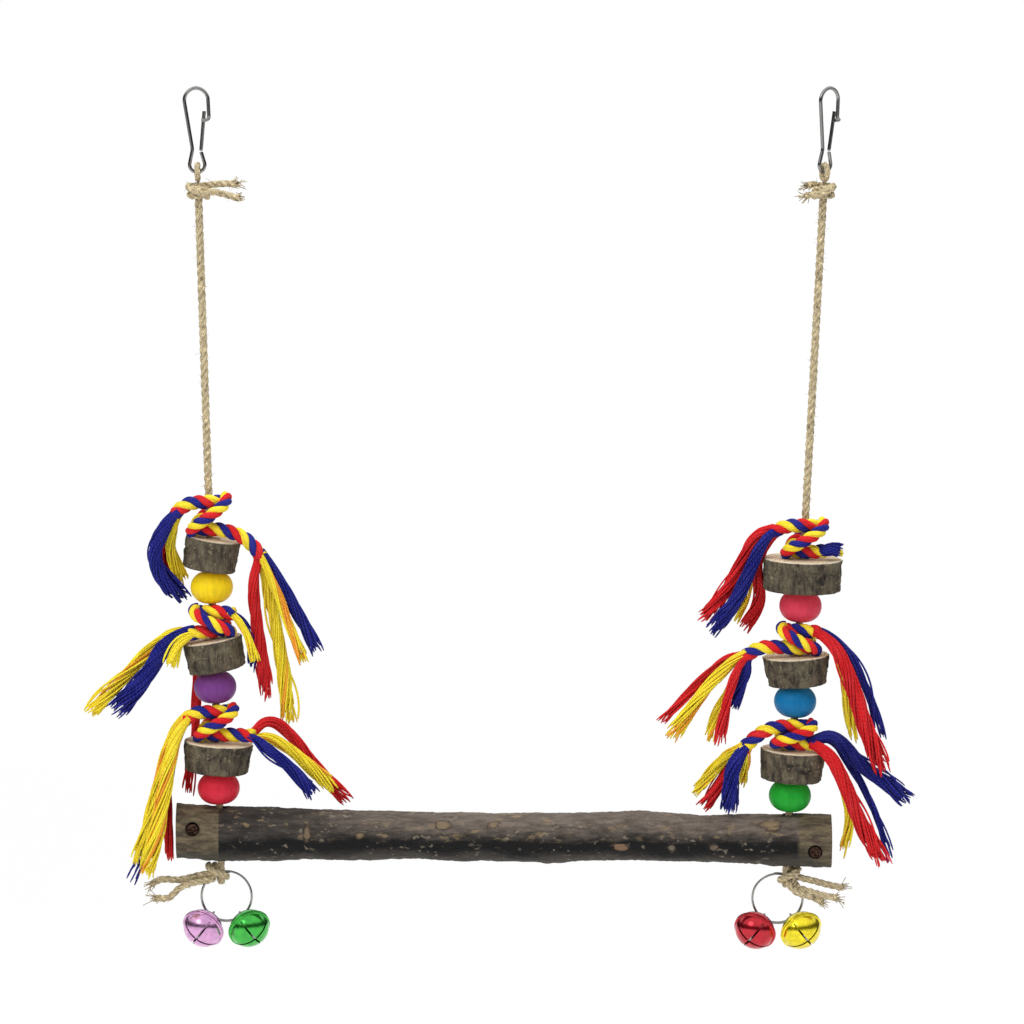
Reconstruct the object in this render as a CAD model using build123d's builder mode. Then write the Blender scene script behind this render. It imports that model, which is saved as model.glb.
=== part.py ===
"""A bird swing: a bark perch that hangs from two snap hooks on two jute ropes.

Each rope is threaded with wooden beads, slices of branch and cotton ties, and ends
under the perch in a knot that holds a split ring with two bells.
"""

import os
from math import cos, dist, pi, radians, sin, sqrt, tan

from build123d import *

os.makedirs("parts", exist_ok=True)

# The frame has +X along the perch, -Y towards the front and +Z up.
# Its origin lies midway between the two points where the hooks sit on their bar.

# Hanging layout
hook_spacing = 280.8
hang_height = 336.0
perch_shift = 3.6

# Clearances
soft_gap = 0.3
coil_gap = 0.45
seat_gap = 0.75
pivot_gap = 0.35
ring_gap = 0.8
bore_gap = 0.4
cut_overrun = 4.0

# Snap hook, bent from one wire
hook_wire = 1.6
hook_width = 12.8
hook_eye_drop = 36.5
hook_eye_width = 8.6
hook_eye_bend = 3.2
hook_waist_drop = 26.5
hook_waist_width = 3.8
hook_waist_bend = 6.0
hook_top_flat = 0.1
right_hook_turn = 40.0
catch_drop = 12.5
catch_flare = 0.25
catch_dip = 0.9
catch_inset = 0.4
catch_room = 0.5
catch_past = 0.9
catch_bend = 1.3
gate_tip_drop = 9.6
gate_tip_reach = 3.85

# Jute rope and its knots
rope_diameter = 3.6
knot_cord = 3.2
hook_loop_cord = 2.6
hook_loop_radius = 3.3
right_loop_turn = 20.0
knot_turns = 1.5
tail_run = 3.0

# Split ring
ring_diameter = 23.6
ring_wire = 1.0
ring_end_angle = 45.0
ring_jog_angle = 35.0
left_ring_lean = 20.0
right_ring_lean = 27.0
left_ring_end_at = 37.0
right_ring_end_at = 143.0

# Bell, with its crimped rim at the height of its middle
bell_diameter = 18.2
bell_wall = 0.5
bell_rim_width = 0.3
bell_rim_height = 0.6
bell_slit_width = 0.9
bell_slit_drop = 2.2
bell_loop_wire = 0.9
bell_loop_radius = 1.95
bell_loop_neck = 1.7
bell_loop_leg = 1.2
bell_pellet_diameter = 4.4
bell_spread_angle = 38.0
bell_tilt_angle = 52.0

# Perch
perch_length = 294.0
perch_diameter = 23.6

# End screws of the perch
screw_inset = 7.5
left_screw_lift = 2.2
right_screw_lift = -2.9
screw_recess_diameter = 6.2
screw_recess_depth = 3.0
screw_head_diameter = 4.8
screw_head_height = 1.5
screw_shank_diameter = 2.4
screw_length = 14.0
screw_slot_width = 0.8
screw_slot_depth = 0.6
screw_gap = 0.1

# Wooden beads
bead_diameter = 19.0
bead_height = 13.8
bead_end_diameter = 8.4

# Slices of branch
slice_edge = 0.8
left_upper_slice_diameter = 25.0
left_upper_slice_foot = 24.0
left_upper_slice_thickness = 14.2
left_upper_slice_tilt = 10.5
left_middle_slice_diameter = 27.0
left_middle_slice_foot = 26.0
left_middle_slice_thickness = 14.0
left_middle_slice_tilt = -8.5
left_lower_slice_diameter = 32.4
left_lower_slice_foot = 29.0
left_lower_slice_thickness = 13.5
left_lower_slice_tilt = 5.5
right_upper_slice_diameter = 35.5
right_upper_slice_foot = 34.5
right_upper_slice_thickness = 14.4
right_upper_slice_tilt = -1.0
right_middle_slice_diameter = 31.0
right_middle_slice_foot = 26.5
right_middle_slice_thickness = 13.2
right_middle_slice_tilt = -6.0
right_lower_slice_diameter = 29.3
right_lower_slice_foot = 27.5
right_lower_slice_thickness = 13.8
right_lower_slice_tilt = 1.0

# Cotton ties: a rope of three plies, wound once round the jute between two fringed ends
cotton_diameter = 6.5
crossing_diameter = 4.8
crossing_angle = 45.0
left_upper_tie_rise = 12.2
left_middle_tie_rise = 8.5
left_lower_tie_rise = 10.3
right_upper_tie_rise = 11.7
right_middle_tie_rise = 7.8
right_lower_tie_rise = 7.8

# Shares of the sizes above
rope_hole_share = 0.0663265
bell_dome_share = 0.3956
bell_cup_share = 0.4286
bend_share = 0.45
crossing_share = 0.47
ply_root_share = 0.97
ply_spacing_share = 1.03
ply_shoulder_share = 0.8
ply_end_share = 1.1

# Form of the branch: place along its length, lift of its middle as a share of the
# diameter, and its radius as a share of the plain one
left_hole_form_shares = (0.060, 1.115)
right_hole_form_shares = (-0.044, 1.031)
perch_form_shares = [
    (0.000, 0.127, 1.069),
    (0.133, 0.045, 1.030),
    (0.200, 0.055, 0.985),
    (0.300, 0.025, 0.950),
    (0.400, 0.005, 0.945),
    (0.500, -0.008, 0.973),
    (0.600, -0.018, 0.960),
    (0.700, 0.012, 0.985),
    (0.800, -0.046, 0.920),
    (0.867, -0.050, 0.985),
    (1.000, -0.096, 1.027),
]

# Routes of the cotton ties, from the middle of each winding. The left end leaves the
# winding at its upper turn where hand is 1, and at its lower turn where it is -1. Each
# end is a lead of twisted rope, then plies listed from the front round the outer side,
# each with its diameter and its points.
tie_routes = {
    "left_upper": {
        "hand": 1,
        "left_lead": [(-10, -5.6, 5.6), (-15, -5, 1)],
        "left_plies": [
            (5.4, [(-20.5, -4, -6), (-24.5, -2, -15.5), (-24.5, 0, -23), (-20, 3, -32), (-13, 5, -38)]),
            (3.4, [(-18.5, 6, -7), (-21, 8, -17), (-19.5, 9, -26), (-16, 10, -32)]),
            (4.2, [(-17, 1, -8), (-18, 3, -16), (-15.5, 5, -24), (-12.5, 8, -31)]),
        ],
        "right_lead": [(10.5, -5.8, -7.4), (18, -6, -11), (23.5, -5.5, -18.5)],
        "right_plies": [
            (3.6, [(28, -6, -29), (32.5, -5, -41), (37, -3, -54), (41.5, -2, -65.5)]),
            (4.4, [(30, -2, -28), (36.5, -1, -39), (42, 0, -50), (47.5, 1, -61)]),
            (4.6, [(25, 1, -30), (28.5, 3, -47), (32, 5, -66), (35, 6, -93)]),
            (4.6, [(19.5, -3, -28), (20, 0, -42), (22, 3, -58), (24.5, 5, -82)]),
        ],
    },
    "left_middle": {
        "hand": -1,
        "left_lead": [(-10, -6.2, -5.6)],
        "left_plies": [
            (3.8, [(-14.5, -8.5, -10), (-17, -9, -15), (-18.5, -8.5, -19.5)]),
            (5.8, [(-16.2, -5, -7), (-22, -4, -12), (-27, -3, -20.5), (-34, -2, -30.5), (-43, 0, -41)]),
            (4.4, [(-17, 3, -5.5), (-25, 5, -11), (-36, 5, -22), (-46, 4, -33), (-54, 3, -42)]),
            (3.4, [(-12.5, 4, -7.5), (-10, 15.5, -12), (-8, 18, -27), (-8.5, 18, -45), (-10, 18, -62),
                   (-12.5, 16, -80)]),
        ],
        "right_lead": [(9.5, -6.5, 3.6)],
        "right_plies": [
            (3.2, [(13.5, -8.5, -1.5), (17, -9, -9), (19, -9, -17)]),
            (2.8, [(13.5, -2, 0), (16.8, 0, -7), (17.5, 2, -14), (17.8, 4, -23)]),
        ],
    },
    "left_lower": {
        "hand": 1,
        "left_lead": [(-9.5, -6, 5), (-14, -6.5, 1.5)],
        "left_plies": [
            (5.4, [(-18.5, -8.5, -7), (-21.5, -10, -20), (-24, -13, -35), (-27, -14, -50), (-31, -13, -66)]),
            (4.0, [(-21, -3, -7), (-24.5, -3, -21), (-28.5, -4, -36), (-32, -4, -50), (-35.5, -4, -63)]),
            (3.4, [(-19, 6, -8), (-23, 7, -25), (-22.5, 6, -44), (-21.5, 5, -62)]),
            (2.8, [(-17.8, 0.5, -9), (-20, 1.5, -20), (-24, 1.5, -34), (-30, 1.5, -52), (-37, 1, -71)]),
        ],
        "right_lead": [(10, -6, -5.2), (17, -6.5, -5.6)],
        "right_plies": [
            (4.4, [(23.5, -10.5, -11.5), (31, -10, -17), (38, -8, -24.5), (43, -5, -32)]),
            (4.4, [(21.5, -1.5, 0.5), (29, 4, -2), (38, 8, -14), (48, 11, -28.5), (57, 13, -37)]),
            (4.4, [(24, -4, -6.5), (35, -2, -14), (45, 0, -23.5), (51.5, 3, -30.5)]),
        ],
    },
    "right_upper": {
        "hand": 1,
        "left_lead": [(-9.5, -5, 5.6), (-15, -3.5, 2.5)],
        "left_plies": [
            (5.0, [(-20, -5.5, -4), (-24, -3.5, -14), (-29, -2, -26), (-35, 0, -35), (-41, 1, -42)]),
            (4.4, [(-22, -1.5, 1.5), (-27, 2, -9.5), (-32, 5, -21), (-38.5, 6, -30.5), (-45, 7, -37.5)]),
            (3.2, [(-19.5, 4.5, -3), (-23.5, 10, -13), (-24, 14, -25), (-26.5, 14, -33), (-30, 13, -39)]),
            (4.2, [(-18.5, -1.5, -5), (-21.5, 4.5, -13), (-19, 9, -26), (-20.5, 10, -34), (-25.5, 10, -42)]),
        ],
        "right_lead": [(9, -5.8, -5.4)],
        "right_plies": [
            (4.8, [(12.5, -6.8, -3.8), (16, -6.5, -5)]),
            (2.6, [(13, -2, -6.2), (17, -1.5, -7)]),
        ],
    },
    "right_middle": {
        "hand": -1,
        "left_lead": [(-11, -6, -3.2), (-19, -6, -3.6), (-24.5, -5.5, -8)],
        "left_plies": [
            (3.6, [(-28, -9, -13), (-31, -9, -22), (-33.5, -8, -33), (-35, -7, -46)]),
            (4.4, [(-31, -6, -10.5), (-40, -6, -20), (-49, -5, -32), (-56, -4, -44)]),
            (3.2, [(-31.5, -1, -8), (-41, 0, -16.5), (-52, 0, -28), (-60.5, 0, -37.5)]),
            (3.2, [(-29, 4, -10), (-33, 5, -15), (-37.5, 5, -20)]),
            (3.8, [(-27, 2, -16), (-32, 2, -26), (-37, 2, -36), (-39.5, 2, -46)]),
            (4.2, [(-23.5, -5, -15), (-26, -3, -22), (-29.5, -2, -31)]),
        ],
        "right_lead": [(9, -6.5, 3.4)],
        "right_plies": [
            (5.4, [(15, -9, -1.5), (20.5, -9.5, -11), (24, -8, -21), (28, -6, -34), (32.5, -4, -47),
                   (37, -2, -59)]),
            (3.2, [(16, -1.5, 0.5), (23, 0, -8), (28.5, 1, -18), (33, 2, -30), (37.5, 3, -45)]),
            (3.2, [(16.5, -2, -5), (20, 2, -15), (22, 2, -31), (25, 2, -46)]),
        ],
    },
    "right_lower": {
        "hand": 1,
        "left_lead": [(-10, -6, 3.4), (-17.5, -6.5, -0.5), (-23, -6.5, -6.5)],
        "left_plies": [
            (5.6, [(-27, -9, -13), (-28.5, -7, -23), (-28, -3, -33.5)]),
            (3.8, [(-30, -1, -10), (-37, 3, -19), (-43.5, 5, -28)]),
            (4.2, [(-28, 4, -13), (-33, 3.5, -25), (-40, 4, -34.5)]),
            (3.2, [(-21.5, -3, -13), (-22, 2, -18.5), (-22.5, 4, -24)]),
        ],
        "right_lead": [(9.5, -6.2, -3.9)],
        "right_plies": [
            (5.4, [(16, -9.5, -8), (21.5, -9.5, -19), (27, -8, -33), (33.5, -6, -46), (39.5, -4, -57.5)]),
            (5.2, [(17, -3, 0), (24, 0, -7.5), (32, 2, -16.5), (42, 3, -23.5), (51, 4, -31)]),
            (2.8, [(17, 5, -3.5), (24, 8, -13), (32, 6, -26), (38, 2, -39), (44, 1, -56.5)]),
            (3.2, [(17.5, -2, -9), (22, -2, -22), (25.5, -2, -37), (24, -2, -47), (22.5, -2, -55)]),
        ],
    },
}

# Routes of the loose jute ends, from where each leaves its winding
left_hook_tails = [[(10, 3, 1.2), (17.5, 1, 0.8)], [(9, -3.5, -0.8), (18, -2, -2.6)]]
right_hook_tails = [[(-6, 3.2, 0.6), (-9, 2, 0)], [(-6.5, -3.4, -0.8), (-10.5, -3, -2.2)]]
left_ring_tail = [(0, 0, -3.8), (-6.5, -4.6, -5.6), (-15, -5.4, -7.6), (-23.5, -4.8, -8)]
right_ring_tail = [(0, 0, -3.8), (6.5, -4.6, -5.2), (13, -5.6, -7), (19, -5.4, -8.2)]
left_ring_ends = [[(0, -3.9, 0.4), (-7, -5, -0.2), (-15, -5.5, -1.8), (-24, -5, -2.4)]]
right_ring_ends = [
    [(0, -3.9, 0.4), (7, -5, -1), (14, -5.5, -3), (20, -5, -4.2)],
    [(2, -7.6, -8.2), (6, -9.4, -9.2), (11.5, -10, -10.8)],
]

sides = {"left": -1, "right": 1}
levels = ["lower", "middle", "upper"]


def save(piece, label):
    """Names a finished piece and writes it to its own file."""
    piece.part.label = label
    export_step(piece.part, f"parts/{label}.step")


def hanging_line(side):
    """Plane at the bar seat of one hook, with its Z axis up along the rope."""
    seat = Vector(side * hook_spacing / 2, 0, 0)
    hole = Vector(side * rope_hole_spacing / 2 - perch_shift, 0, -hang_height)
    return Plane(origin=seat, x_dir=(1, 0, 0), z_dir=seat - hole)


def spot(line, x, y, z):
    """A point given along, behind and up a hanging line."""
    return line.from_local_coords(Vector(x, y, z))


def way(line, x, y, z):
    """A direction given along, behind and up a hanging line."""
    return (spot(line, x, y, z) - line.origin).normalized()


def bend_radii(points):
    """Radius at each corner of a route: as large as its two runs allow."""
    radii = []
    for before, corner, after in zip(points, points[1:], points[2:]):
        run_in, run_out = corner - before, after - corner
        half_turn = radians(run_in.get_angle(run_out)) / 2
        radii.append(bend_share * min(run_in.length, run_out.length) / tan(half_turn))
    return radii


def draw_route(points):
    """Straight runs joined by tangent arcs."""
    if len(points) == 2:
        Line(*points)
    else:
        FilletPolyline(*points, radius=bend_radii(points))


def draw_biarc(start, start_way, end, end_way):
    """Two tangent arcs that leave start along start_way and reach end along end_way."""
    chord, both = end - start, start_way + end_way
    spread = 2 * (1 - start_way.dot(end_way))
    reach = (sqrt(chord.dot(both) ** 2 + spread * chord.dot(chord)) - chord.dot(both)) / spread
    first, second = start + start_way * reach, end - end_way * reach
    middle = (first + second) * 0.5
    TangentArc(start, middle, tangent=start_way)
    TangentArc(middle, end, tangent=second - first)


def draw_turns(stations):
    """A winding through stations, each a point and the way that the cord takes there."""
    for (start, start_way), (end, end_way) in zip(stations, stations[1:]):
        draw_biarc(start, start_way, end, end_way)


def winding(centre, out, up, axis, radius, rise, turns):
    """Stations at each quarter turn round an axis, from out towards up, eased at both ends.

    The cord is at out when it starts, moves towards up, and climbs by rise along axis.
    """
    stations = []
    quarters = round(4 * turns)
    for quarter in range(quarters + 1):
        share = quarter / quarters
        angle = pi / 2 * quarter
        climb = rise * (share - sin(2 * pi * share) / (2 * pi))
        slope = rise * (1 - cos(2 * pi * share)) / (2 * pi * turns)
        point = centre + (out * cos(angle) + up * sin(angle)) * radius + axis * climb
        heading = (up * cos(angle) - out * sin(angle)) * radius + axis * slope
        stations.append((point, heading.normalized()))
    return stations


def report_tube(label, wire, diameter, part):
    """Prints a tube's volume beside section times length, and its least gap to itself."""
    count = round(wire.length / diameter * 8)
    points = [tuple(wire.position_at(index / count)) for index in range(count + 1)]
    far = round(count * 2.2 * diameter / wire.length)
    gaps = [
        dist(points[i], points[j]) - diameter
        for i in range(count + 1)
        for j in range(i + far, count + 1)
    ]
    plain = pi * diameter**2 / 4 * wire.length
    least = f"{min(gaps):.2f}" if gaps else "none"
    print(f"{label}: length {wire.length:.1f}, volume {part.volume / plain:.4f} of plain, self gap {least}")


def cord_tube(label, diameter, head, turns, tail):
    """One unbroken tube along a route in, a winding and a route out."""
    for name, route in (("head", head), ("tail", tail)):
        if len(route) > 2:
            print(f"{label} {name} radii:", [round(radius, 1) for radius in bend_radii(route)])
    with BuildPart() as cord:
        with BuildLine() as path:
            if head:
                draw_route(head)
            if turns:
                draw_turns(turns)
            if tail:
                draw_route(tail)
        start = (head or [station[0] for station in turns] or tail)[0]
        with BuildSketch(Plane(origin=start, z_dir=path.wires()[0] % 0)):
            Circle(diameter / 2)
        sweep(path=path.wires()[0])
    report_tube(label, path.wires()[0], diameter, cord.part)
    return cord


def strand_sections(points, first_way, diameters):
    """Circles square to a ply's route, for a loft."""
    sections = []
    for index, (point, diameter) in enumerate(zip(points, diameters)):
        before, after = points[max(index - 1, 0)], points[min(index + 1, len(points) - 1)]
        heading = first_way if index == 0 else (after - before).normalized()
        plane = Plane(origin=point, x_dir=heading.cross(Vector(0, 1, 0)), z_dir=heading)
        with BuildSketch(plane) as section:
            Circle(diameter / 2)
        sections.append(section.sketch)
    return sections


def perch_form(side):
    """Lift of the branch's middle and its radius at one rope hole."""
    lift_share, radius_share = left_hole_form_shares if side < 0 else right_hole_form_shares
    return lift_share * perch_diameter, radius_share * perch_diameter / 2


def line_length(side):
    """Distance along a rope from the bar seat to the plain axis of the perch."""
    run = side * (hook_spacing - rope_hole_spacing) / 2 + perch_shift
    return sqrt(hang_height**2 + run**2)


def stack_heights(name_of_side):
    """Heights along the rope of each level's bead, slice and tie, from the perch up."""
    side = sides[name_of_side]
    lift, radius = perch_form(side)
    height = -line_length(side) + lift + radius + seat_gap
    heights = {}
    for level in levels:
        tilt = radians(abs(slices[f"{name_of_side}_{level}"]["tilt"]))
        thickness = slices[f"{name_of_side}_{level}"]["thickness"] / cos(tilt)
        rise = tie_rises[f"{name_of_side}_{level}"]
        bead = height + bead_height / 2
        slice_foot = height + bead_height + soft_gap + bead_end_diameter / 2 * tan(tilt)
        slice_top = slice_foot + thickness
        tie_foot = slice_top + soft_gap + winding_radius * tan(tilt) + cotton_diameter / 2
        heights[level] = {
            "bead": bead,
            "slice": (slice_foot + slice_top) / 2,
            "tie": tie_foot + rise / 2,
        }
        height = tie_foot + rise + cotton_diameter / 2 + soft_gap
    return heights


rope_hole_inset = rope_hole_share * perch_length
rope_hole_spacing = perch_length - 2 * rope_hole_inset
bell_dome_height = bell_dome_share * bell_diameter
bell_cup_height = bell_cup_share * bell_diameter
winding_radius = rope_diameter / 2 + soft_gap + cotton_diameter / 2
slices = {
    "left_upper": {"diameter": left_upper_slice_diameter, "foot": left_upper_slice_foot,
                   "thickness": left_upper_slice_thickness, "tilt": left_upper_slice_tilt},
    "left_middle": {"diameter": left_middle_slice_diameter, "foot": left_middle_slice_foot,
                    "thickness": left_middle_slice_thickness, "tilt": left_middle_slice_tilt},
    "left_lower": {"diameter": left_lower_slice_diameter, "foot": left_lower_slice_foot,
                   "thickness": left_lower_slice_thickness, "tilt": left_lower_slice_tilt},
    "right_upper": {"diameter": right_upper_slice_diameter, "foot": right_upper_slice_foot,
                    "thickness": right_upper_slice_thickness, "tilt": right_upper_slice_tilt},
    "right_middle": {"diameter": right_middle_slice_diameter, "foot": right_middle_slice_foot,
                     "thickness": right_middle_slice_thickness, "tilt": right_middle_slice_tilt},
    "right_lower": {"diameter": right_lower_slice_diameter, "foot": right_lower_slice_foot,
                    "thickness": right_lower_slice_thickness, "tilt": right_lower_slice_tilt},
}
tie_rises = {
    "left_upper": left_upper_tie_rise,
    "left_middle": left_middle_tie_rise,
    "left_lower": left_lower_tie_rise,
    "right_upper": right_upper_tie_rise,
    "right_middle": right_middle_tie_rise,
    "right_lower": right_lower_tie_rise,
}
ring_radius = (ring_diameter - ring_wire) / 2
ring_step = ring_wire + coil_gap
ring_reach = sqrt((ring_step / 2 + ring_wire / 2) ** 2 + (ring_wire / 2) ** 2)
ring_knot_radius = ring_reach + ring_gap + knot_cord / 2


def snap_hook(line, label):
    """The wire from the catch over the top and down the spine to the eye and the waist."""
    half = (hook_width - hook_wire) / 2
    top = hook_wire / 2
    forward = hook_wire + catch_room
    waist, eye = hook_waist_width / 2, hook_eye_width / 2
    end_drop = hook_waist_drop + hook_wire / 2 + pivot_gap
    gate_share = (hook_waist_drop - catch_drop - catch_dip) / (hook_waist_drop - gate_tip_drop)
    gate_at = waist + (gate_tip_reach - waist) * gate_share
    points = [
        (gate_at - catch_past, -forward, -catch_drop - catch_dip),
        (half - catch_inset, -forward, -catch_drop - catch_dip),
        (half + catch_flare, 0, -catch_drop),
        (half, 0, top),
        (-half, 0, top),
        (-waist, 0, -hook_waist_drop),
        (-eye, 0, -hook_eye_drop),
        (eye, 0, -hook_eye_drop),
        (waist, 0, -end_drop),
    ]
    top_bend = half - hook_top_flat / 2
    bends = [catch_bend, catch_bend, top_bend, top_bend, hook_waist_bend, hook_eye_bend, hook_eye_bend]
    with BuildPart() as hook:
        with BuildLine(line) as path:
            FilletPolyline(*points, radius=bends)
        with BuildSketch(Plane(origin=spot(line, *points[0]), z_dir=way(line, 1, 0, 0))):
            Circle(hook_wire / 2)
        sweep(path=path.wires()[0])
    save(hook, label)


def hook_gate(line, label):
    """The straight sprung end of the wire, with a rounded foot where it flexes."""
    foot = Vector(hook_waist_width / 2, 0, -hook_waist_drop)
    tip = Vector(gate_tip_reach, 0, -gate_tip_drop)
    start, end = spot(line, *foot), spot(line, *tip)
    with BuildPart() as gate:
        with BuildSketch(Plane(origin=start, z_dir=end - start)):
            Circle(hook_wire / 2)
        extrude(amount=(end - start).length)
        with Locations(start):
            Sphere(hook_wire / 2)
    save(gate, label)


def rope(line, top, foot, label):
    """The straight run of jute from the hook's knot down through the perch."""
    with BuildPart() as run:
        with BuildSketch(line.offset(foot)):
            Circle(rope_diameter / 2)
        extrude(amount=top - foot)
    save(run, label)


def hook_knot(line, side, turn, top, tails, label):
    """A loop of jute through the eye of the hook, over a winding round the rope."""
    across = Vector(0, 1, 0)
    up = way(line, 0, 0, 1)
    aside = way(line, -side, 0, 0)
    radius = rope_diameter / 2 + soft_gap + knot_cord / 2
    rise = knot_turns * (knot_cord + coil_gap)
    centre = spot(line, 0, 0, top)
    turns = winding(centre, across, aside * -1, up * -1, radius, rise, knot_turns)
    first, last = turns[0], turns[-1]
    head = [first[0] - first[1] * tail_run, first[0]]
    for dx, dy, dz in tails[0]:
        head.insert(0, spot(line, dx, dy, top + dz))
    tail = [last[0], last[0] + last[1] * tail_run]
    for dx, dy, dz in tails[1]:
        tail.append(spot(line, dx, dy, top - rise + dz))
    knot = cord_tube(label, knot_cord, head, turns, tail)
    eye_line = turned(line, turn)
    eye = spot(line, 0, 0, -hook_eye_drop)
    with BuildPart() as knotted:
        add(knot.part)
        with BuildSketch(Plane(origin=eye + up * hook_loop_radius, z_dir=eye_line.y_dir)):
            Circle(hook_loop_cord / 2)
        revolve(axis=Axis(eye, eye_line.x_dir))
    save(knotted, label)


def turned(line, angle):
    """A hanging line turned about its own length."""
    bearing = radians(angle)
    return Plane(origin=line.origin, x_dir=way(line, cos(bearing), sin(bearing), 0), z_dir=line.z_dir)


def ring_place(line, side):
    """Where a ring hangs in its knot: the pivot, its direction and the ring's centre."""
    lift, radius = perch_form(side)
    under = -line_length(side) + lift - radius
    height = under - soft_gap - ring_knot_radius - knot_cord / 2
    lean = radians(left_ring_lean if side < 0 else right_ring_lean)
    pitch = knot_cord + coil_gap
    pivot = spot(line, side * pitch / 2, ring_knot_radius, height)
    axis = Vector(cos(lean), 0, -side * sin(lean))
    centre = pivot + Vector(-side * sin(lean), 0, -cos(lean)) * ring_radius
    return pivot, axis, centre


def ring_knot(line, side, rope_foot, tail_route, ends, label):
    """A turn of jute round the ring, its end led aside, beside the rope's other ends."""
    pivot, axis, centre = ring_place(line, side)
    pitch = knot_cord + coil_gap
    front, down, aside = Vector(0, -1, 0), Vector(0, 0, -1), Vector(side, 0, 0)
    start = pivot - aside * pitch / 2
    turns = winding(start, front, down, aside, ring_knot_radius, pitch, 1)
    head = [Vector(start.X, start.Y - ring_knot_radius, rope_foot - soft_gap), turns[0][0]]
    tail = [turns[-1][0]] + [turns[-1][0] + Vector(*step) for step in tail_route]
    knot = cord_tube(label, knot_cord, head, turns, tail)
    clear = aside * (pitch + knot_cord / 2 + soft_gap)
    with BuildPart() as knotted:
        add(knot.part)
        for number, route in enumerate(ends):
            points = [start + clear + Vector(*step) for step in route]
            add(cord_tube(f"{label} end {number + 1}", knot_cord, [], [], points).part)
    save(knotted, label)


def split_ring(line, side, label):
    """Two coils of one wire, side by side, that step across where both ends stop."""
    pivot, axis, centre = ring_place(line, side)
    at = radians(left_ring_end_at if side < 0 else right_ring_end_at)
    end, jog = radians(ring_end_angle), radians(ring_jog_angle)
    coil = 2 * pi - end - jog
    steps = 4
    stations = []
    for first, depth in ((at + end, -ring_step / 2), (at + 2 * pi + jog, ring_step / 2)):
        for step in range(steps + 1):
            angle = first + coil * step / steps
            point = centre + Vector(cos(angle), 0, sin(angle)) * ring_radius + Vector(0, depth, 0)
            stations.append((point, Vector(-sin(angle), 0, cos(angle))))
    ring = cord_tube(label, ring_wire, [], stations, [])
    save(ring, label)


def bell_plane(line, side, hand):
    """Plane at a bell's hanging point: X along the ring's wire and Z away from the bell."""
    pivot, axis, centre = ring_place(line, side)
    spread, tilt = radians(bell_spread_angle) * hand, radians(bell_tilt_angle)
    outward = Vector(sin(spread), 0, -cos(spread))
    along = Vector(cos(spread), 0, sin(spread))
    hang = outward * cos(tilt) + Vector(0, -1, 0) * sin(tilt)
    return Plane(origin=centre + outward * ring_radius, x_dir=along, z_dir=hang * -1)


def bell_profile(middle, height, upwards, rim_width):
    """Section of one stamped half of a bell: an elliptic shell with a flange at its mouth."""
    radius = bell_diameter / 2
    reach = radius + rim_width
    with BuildSketch(Plane(origin=middle.origin, x_dir=middle.x_dir, z_dir=middle.y_dir * -1)) as section:
        Ellipse(radius, height)
        Ellipse(radius - bell_wall, height - bell_wall, mode=Mode.SUBTRACT)
        with Locations((reach - (rim_width + bell_wall) / 2, 0)):
            Rectangle(rim_width + bell_wall, 2 * bell_rim_height)
        with Locations((reach / 2, upwards * height / 2)):
            Rectangle(reach, height, mode=Mode.INTERSECT)
    return section.sketch


def bell(line, side, hand, name):
    """A cross-slit bell: dome, cup, hanging loop and the pellet inside."""
    hang = bell_plane(line, side, hand)
    middle = hang.offset(-bell_loop_neck - bell_dome_height)
    axis = Axis(middle.origin, middle.z_dir)
    with BuildPart() as dome:
        revolve(bell_profile(middle, bell_dome_height, 1, bell_rim_width), axis=axis)
        with BuildSketch(middle):
            with Locations((0, bell_loop_radius), (0, -bell_loop_radius)):
                Circle(bell_loop_wire / 2)
        extrude(amount=bell_dome_height + cut_overrun, mode=Mode.SUBTRACT)
    save(dome, f"{name}_bell_dome")

    with BuildPart() as cup:
        revolve(bell_profile(middle, bell_cup_height, -1, bell_rim_width / 2), axis=axis)
        with BuildSketch(middle.offset(-bell_slit_drop)):
            Rectangle(bell_diameter + cut_overrun, bell_slit_width)
            Rectangle(bell_slit_width, bell_diameter + cut_overrun)
        extrude(amount=-bell_cup_height, mode=Mode.SUBTRACT)
    save(cup, f"{name}_bell_cup")

    leg = -bell_loop_neck - bell_wall - bell_loop_leg
    corners = [(0, -bell_loop_radius, leg), (0, -bell_loop_radius, 0), (0, 0, bell_loop_radius)]
    corners += [(0, bell_loop_radius, 0), (0, bell_loop_radius, leg)]
    with BuildPart() as loop:
        with BuildLine(hang) as path:
            Line(corners[0], corners[1])
            ThreePointArc(*corners[1:4])
            Line(corners[3], corners[4])
        with BuildSketch(Plane(origin=hang.from_local_coords(Vector(*corners[0])), z_dir=hang.z_dir)):
            Circle(bell_loop_wire / 2)
        sweep(path=path.wires()[0])
    save(loop, f"{name}_bell_loop")

    rest = -bell_cup_height + bell_wall + soft_gap + bell_pellet_diameter / 2
    with BuildPart() as pellet:
        with Locations(middle.offset(rest).origin):
            Sphere(bell_pellet_diameter / 2)
    save(pellet, f"{name}_bell_pellet")


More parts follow.
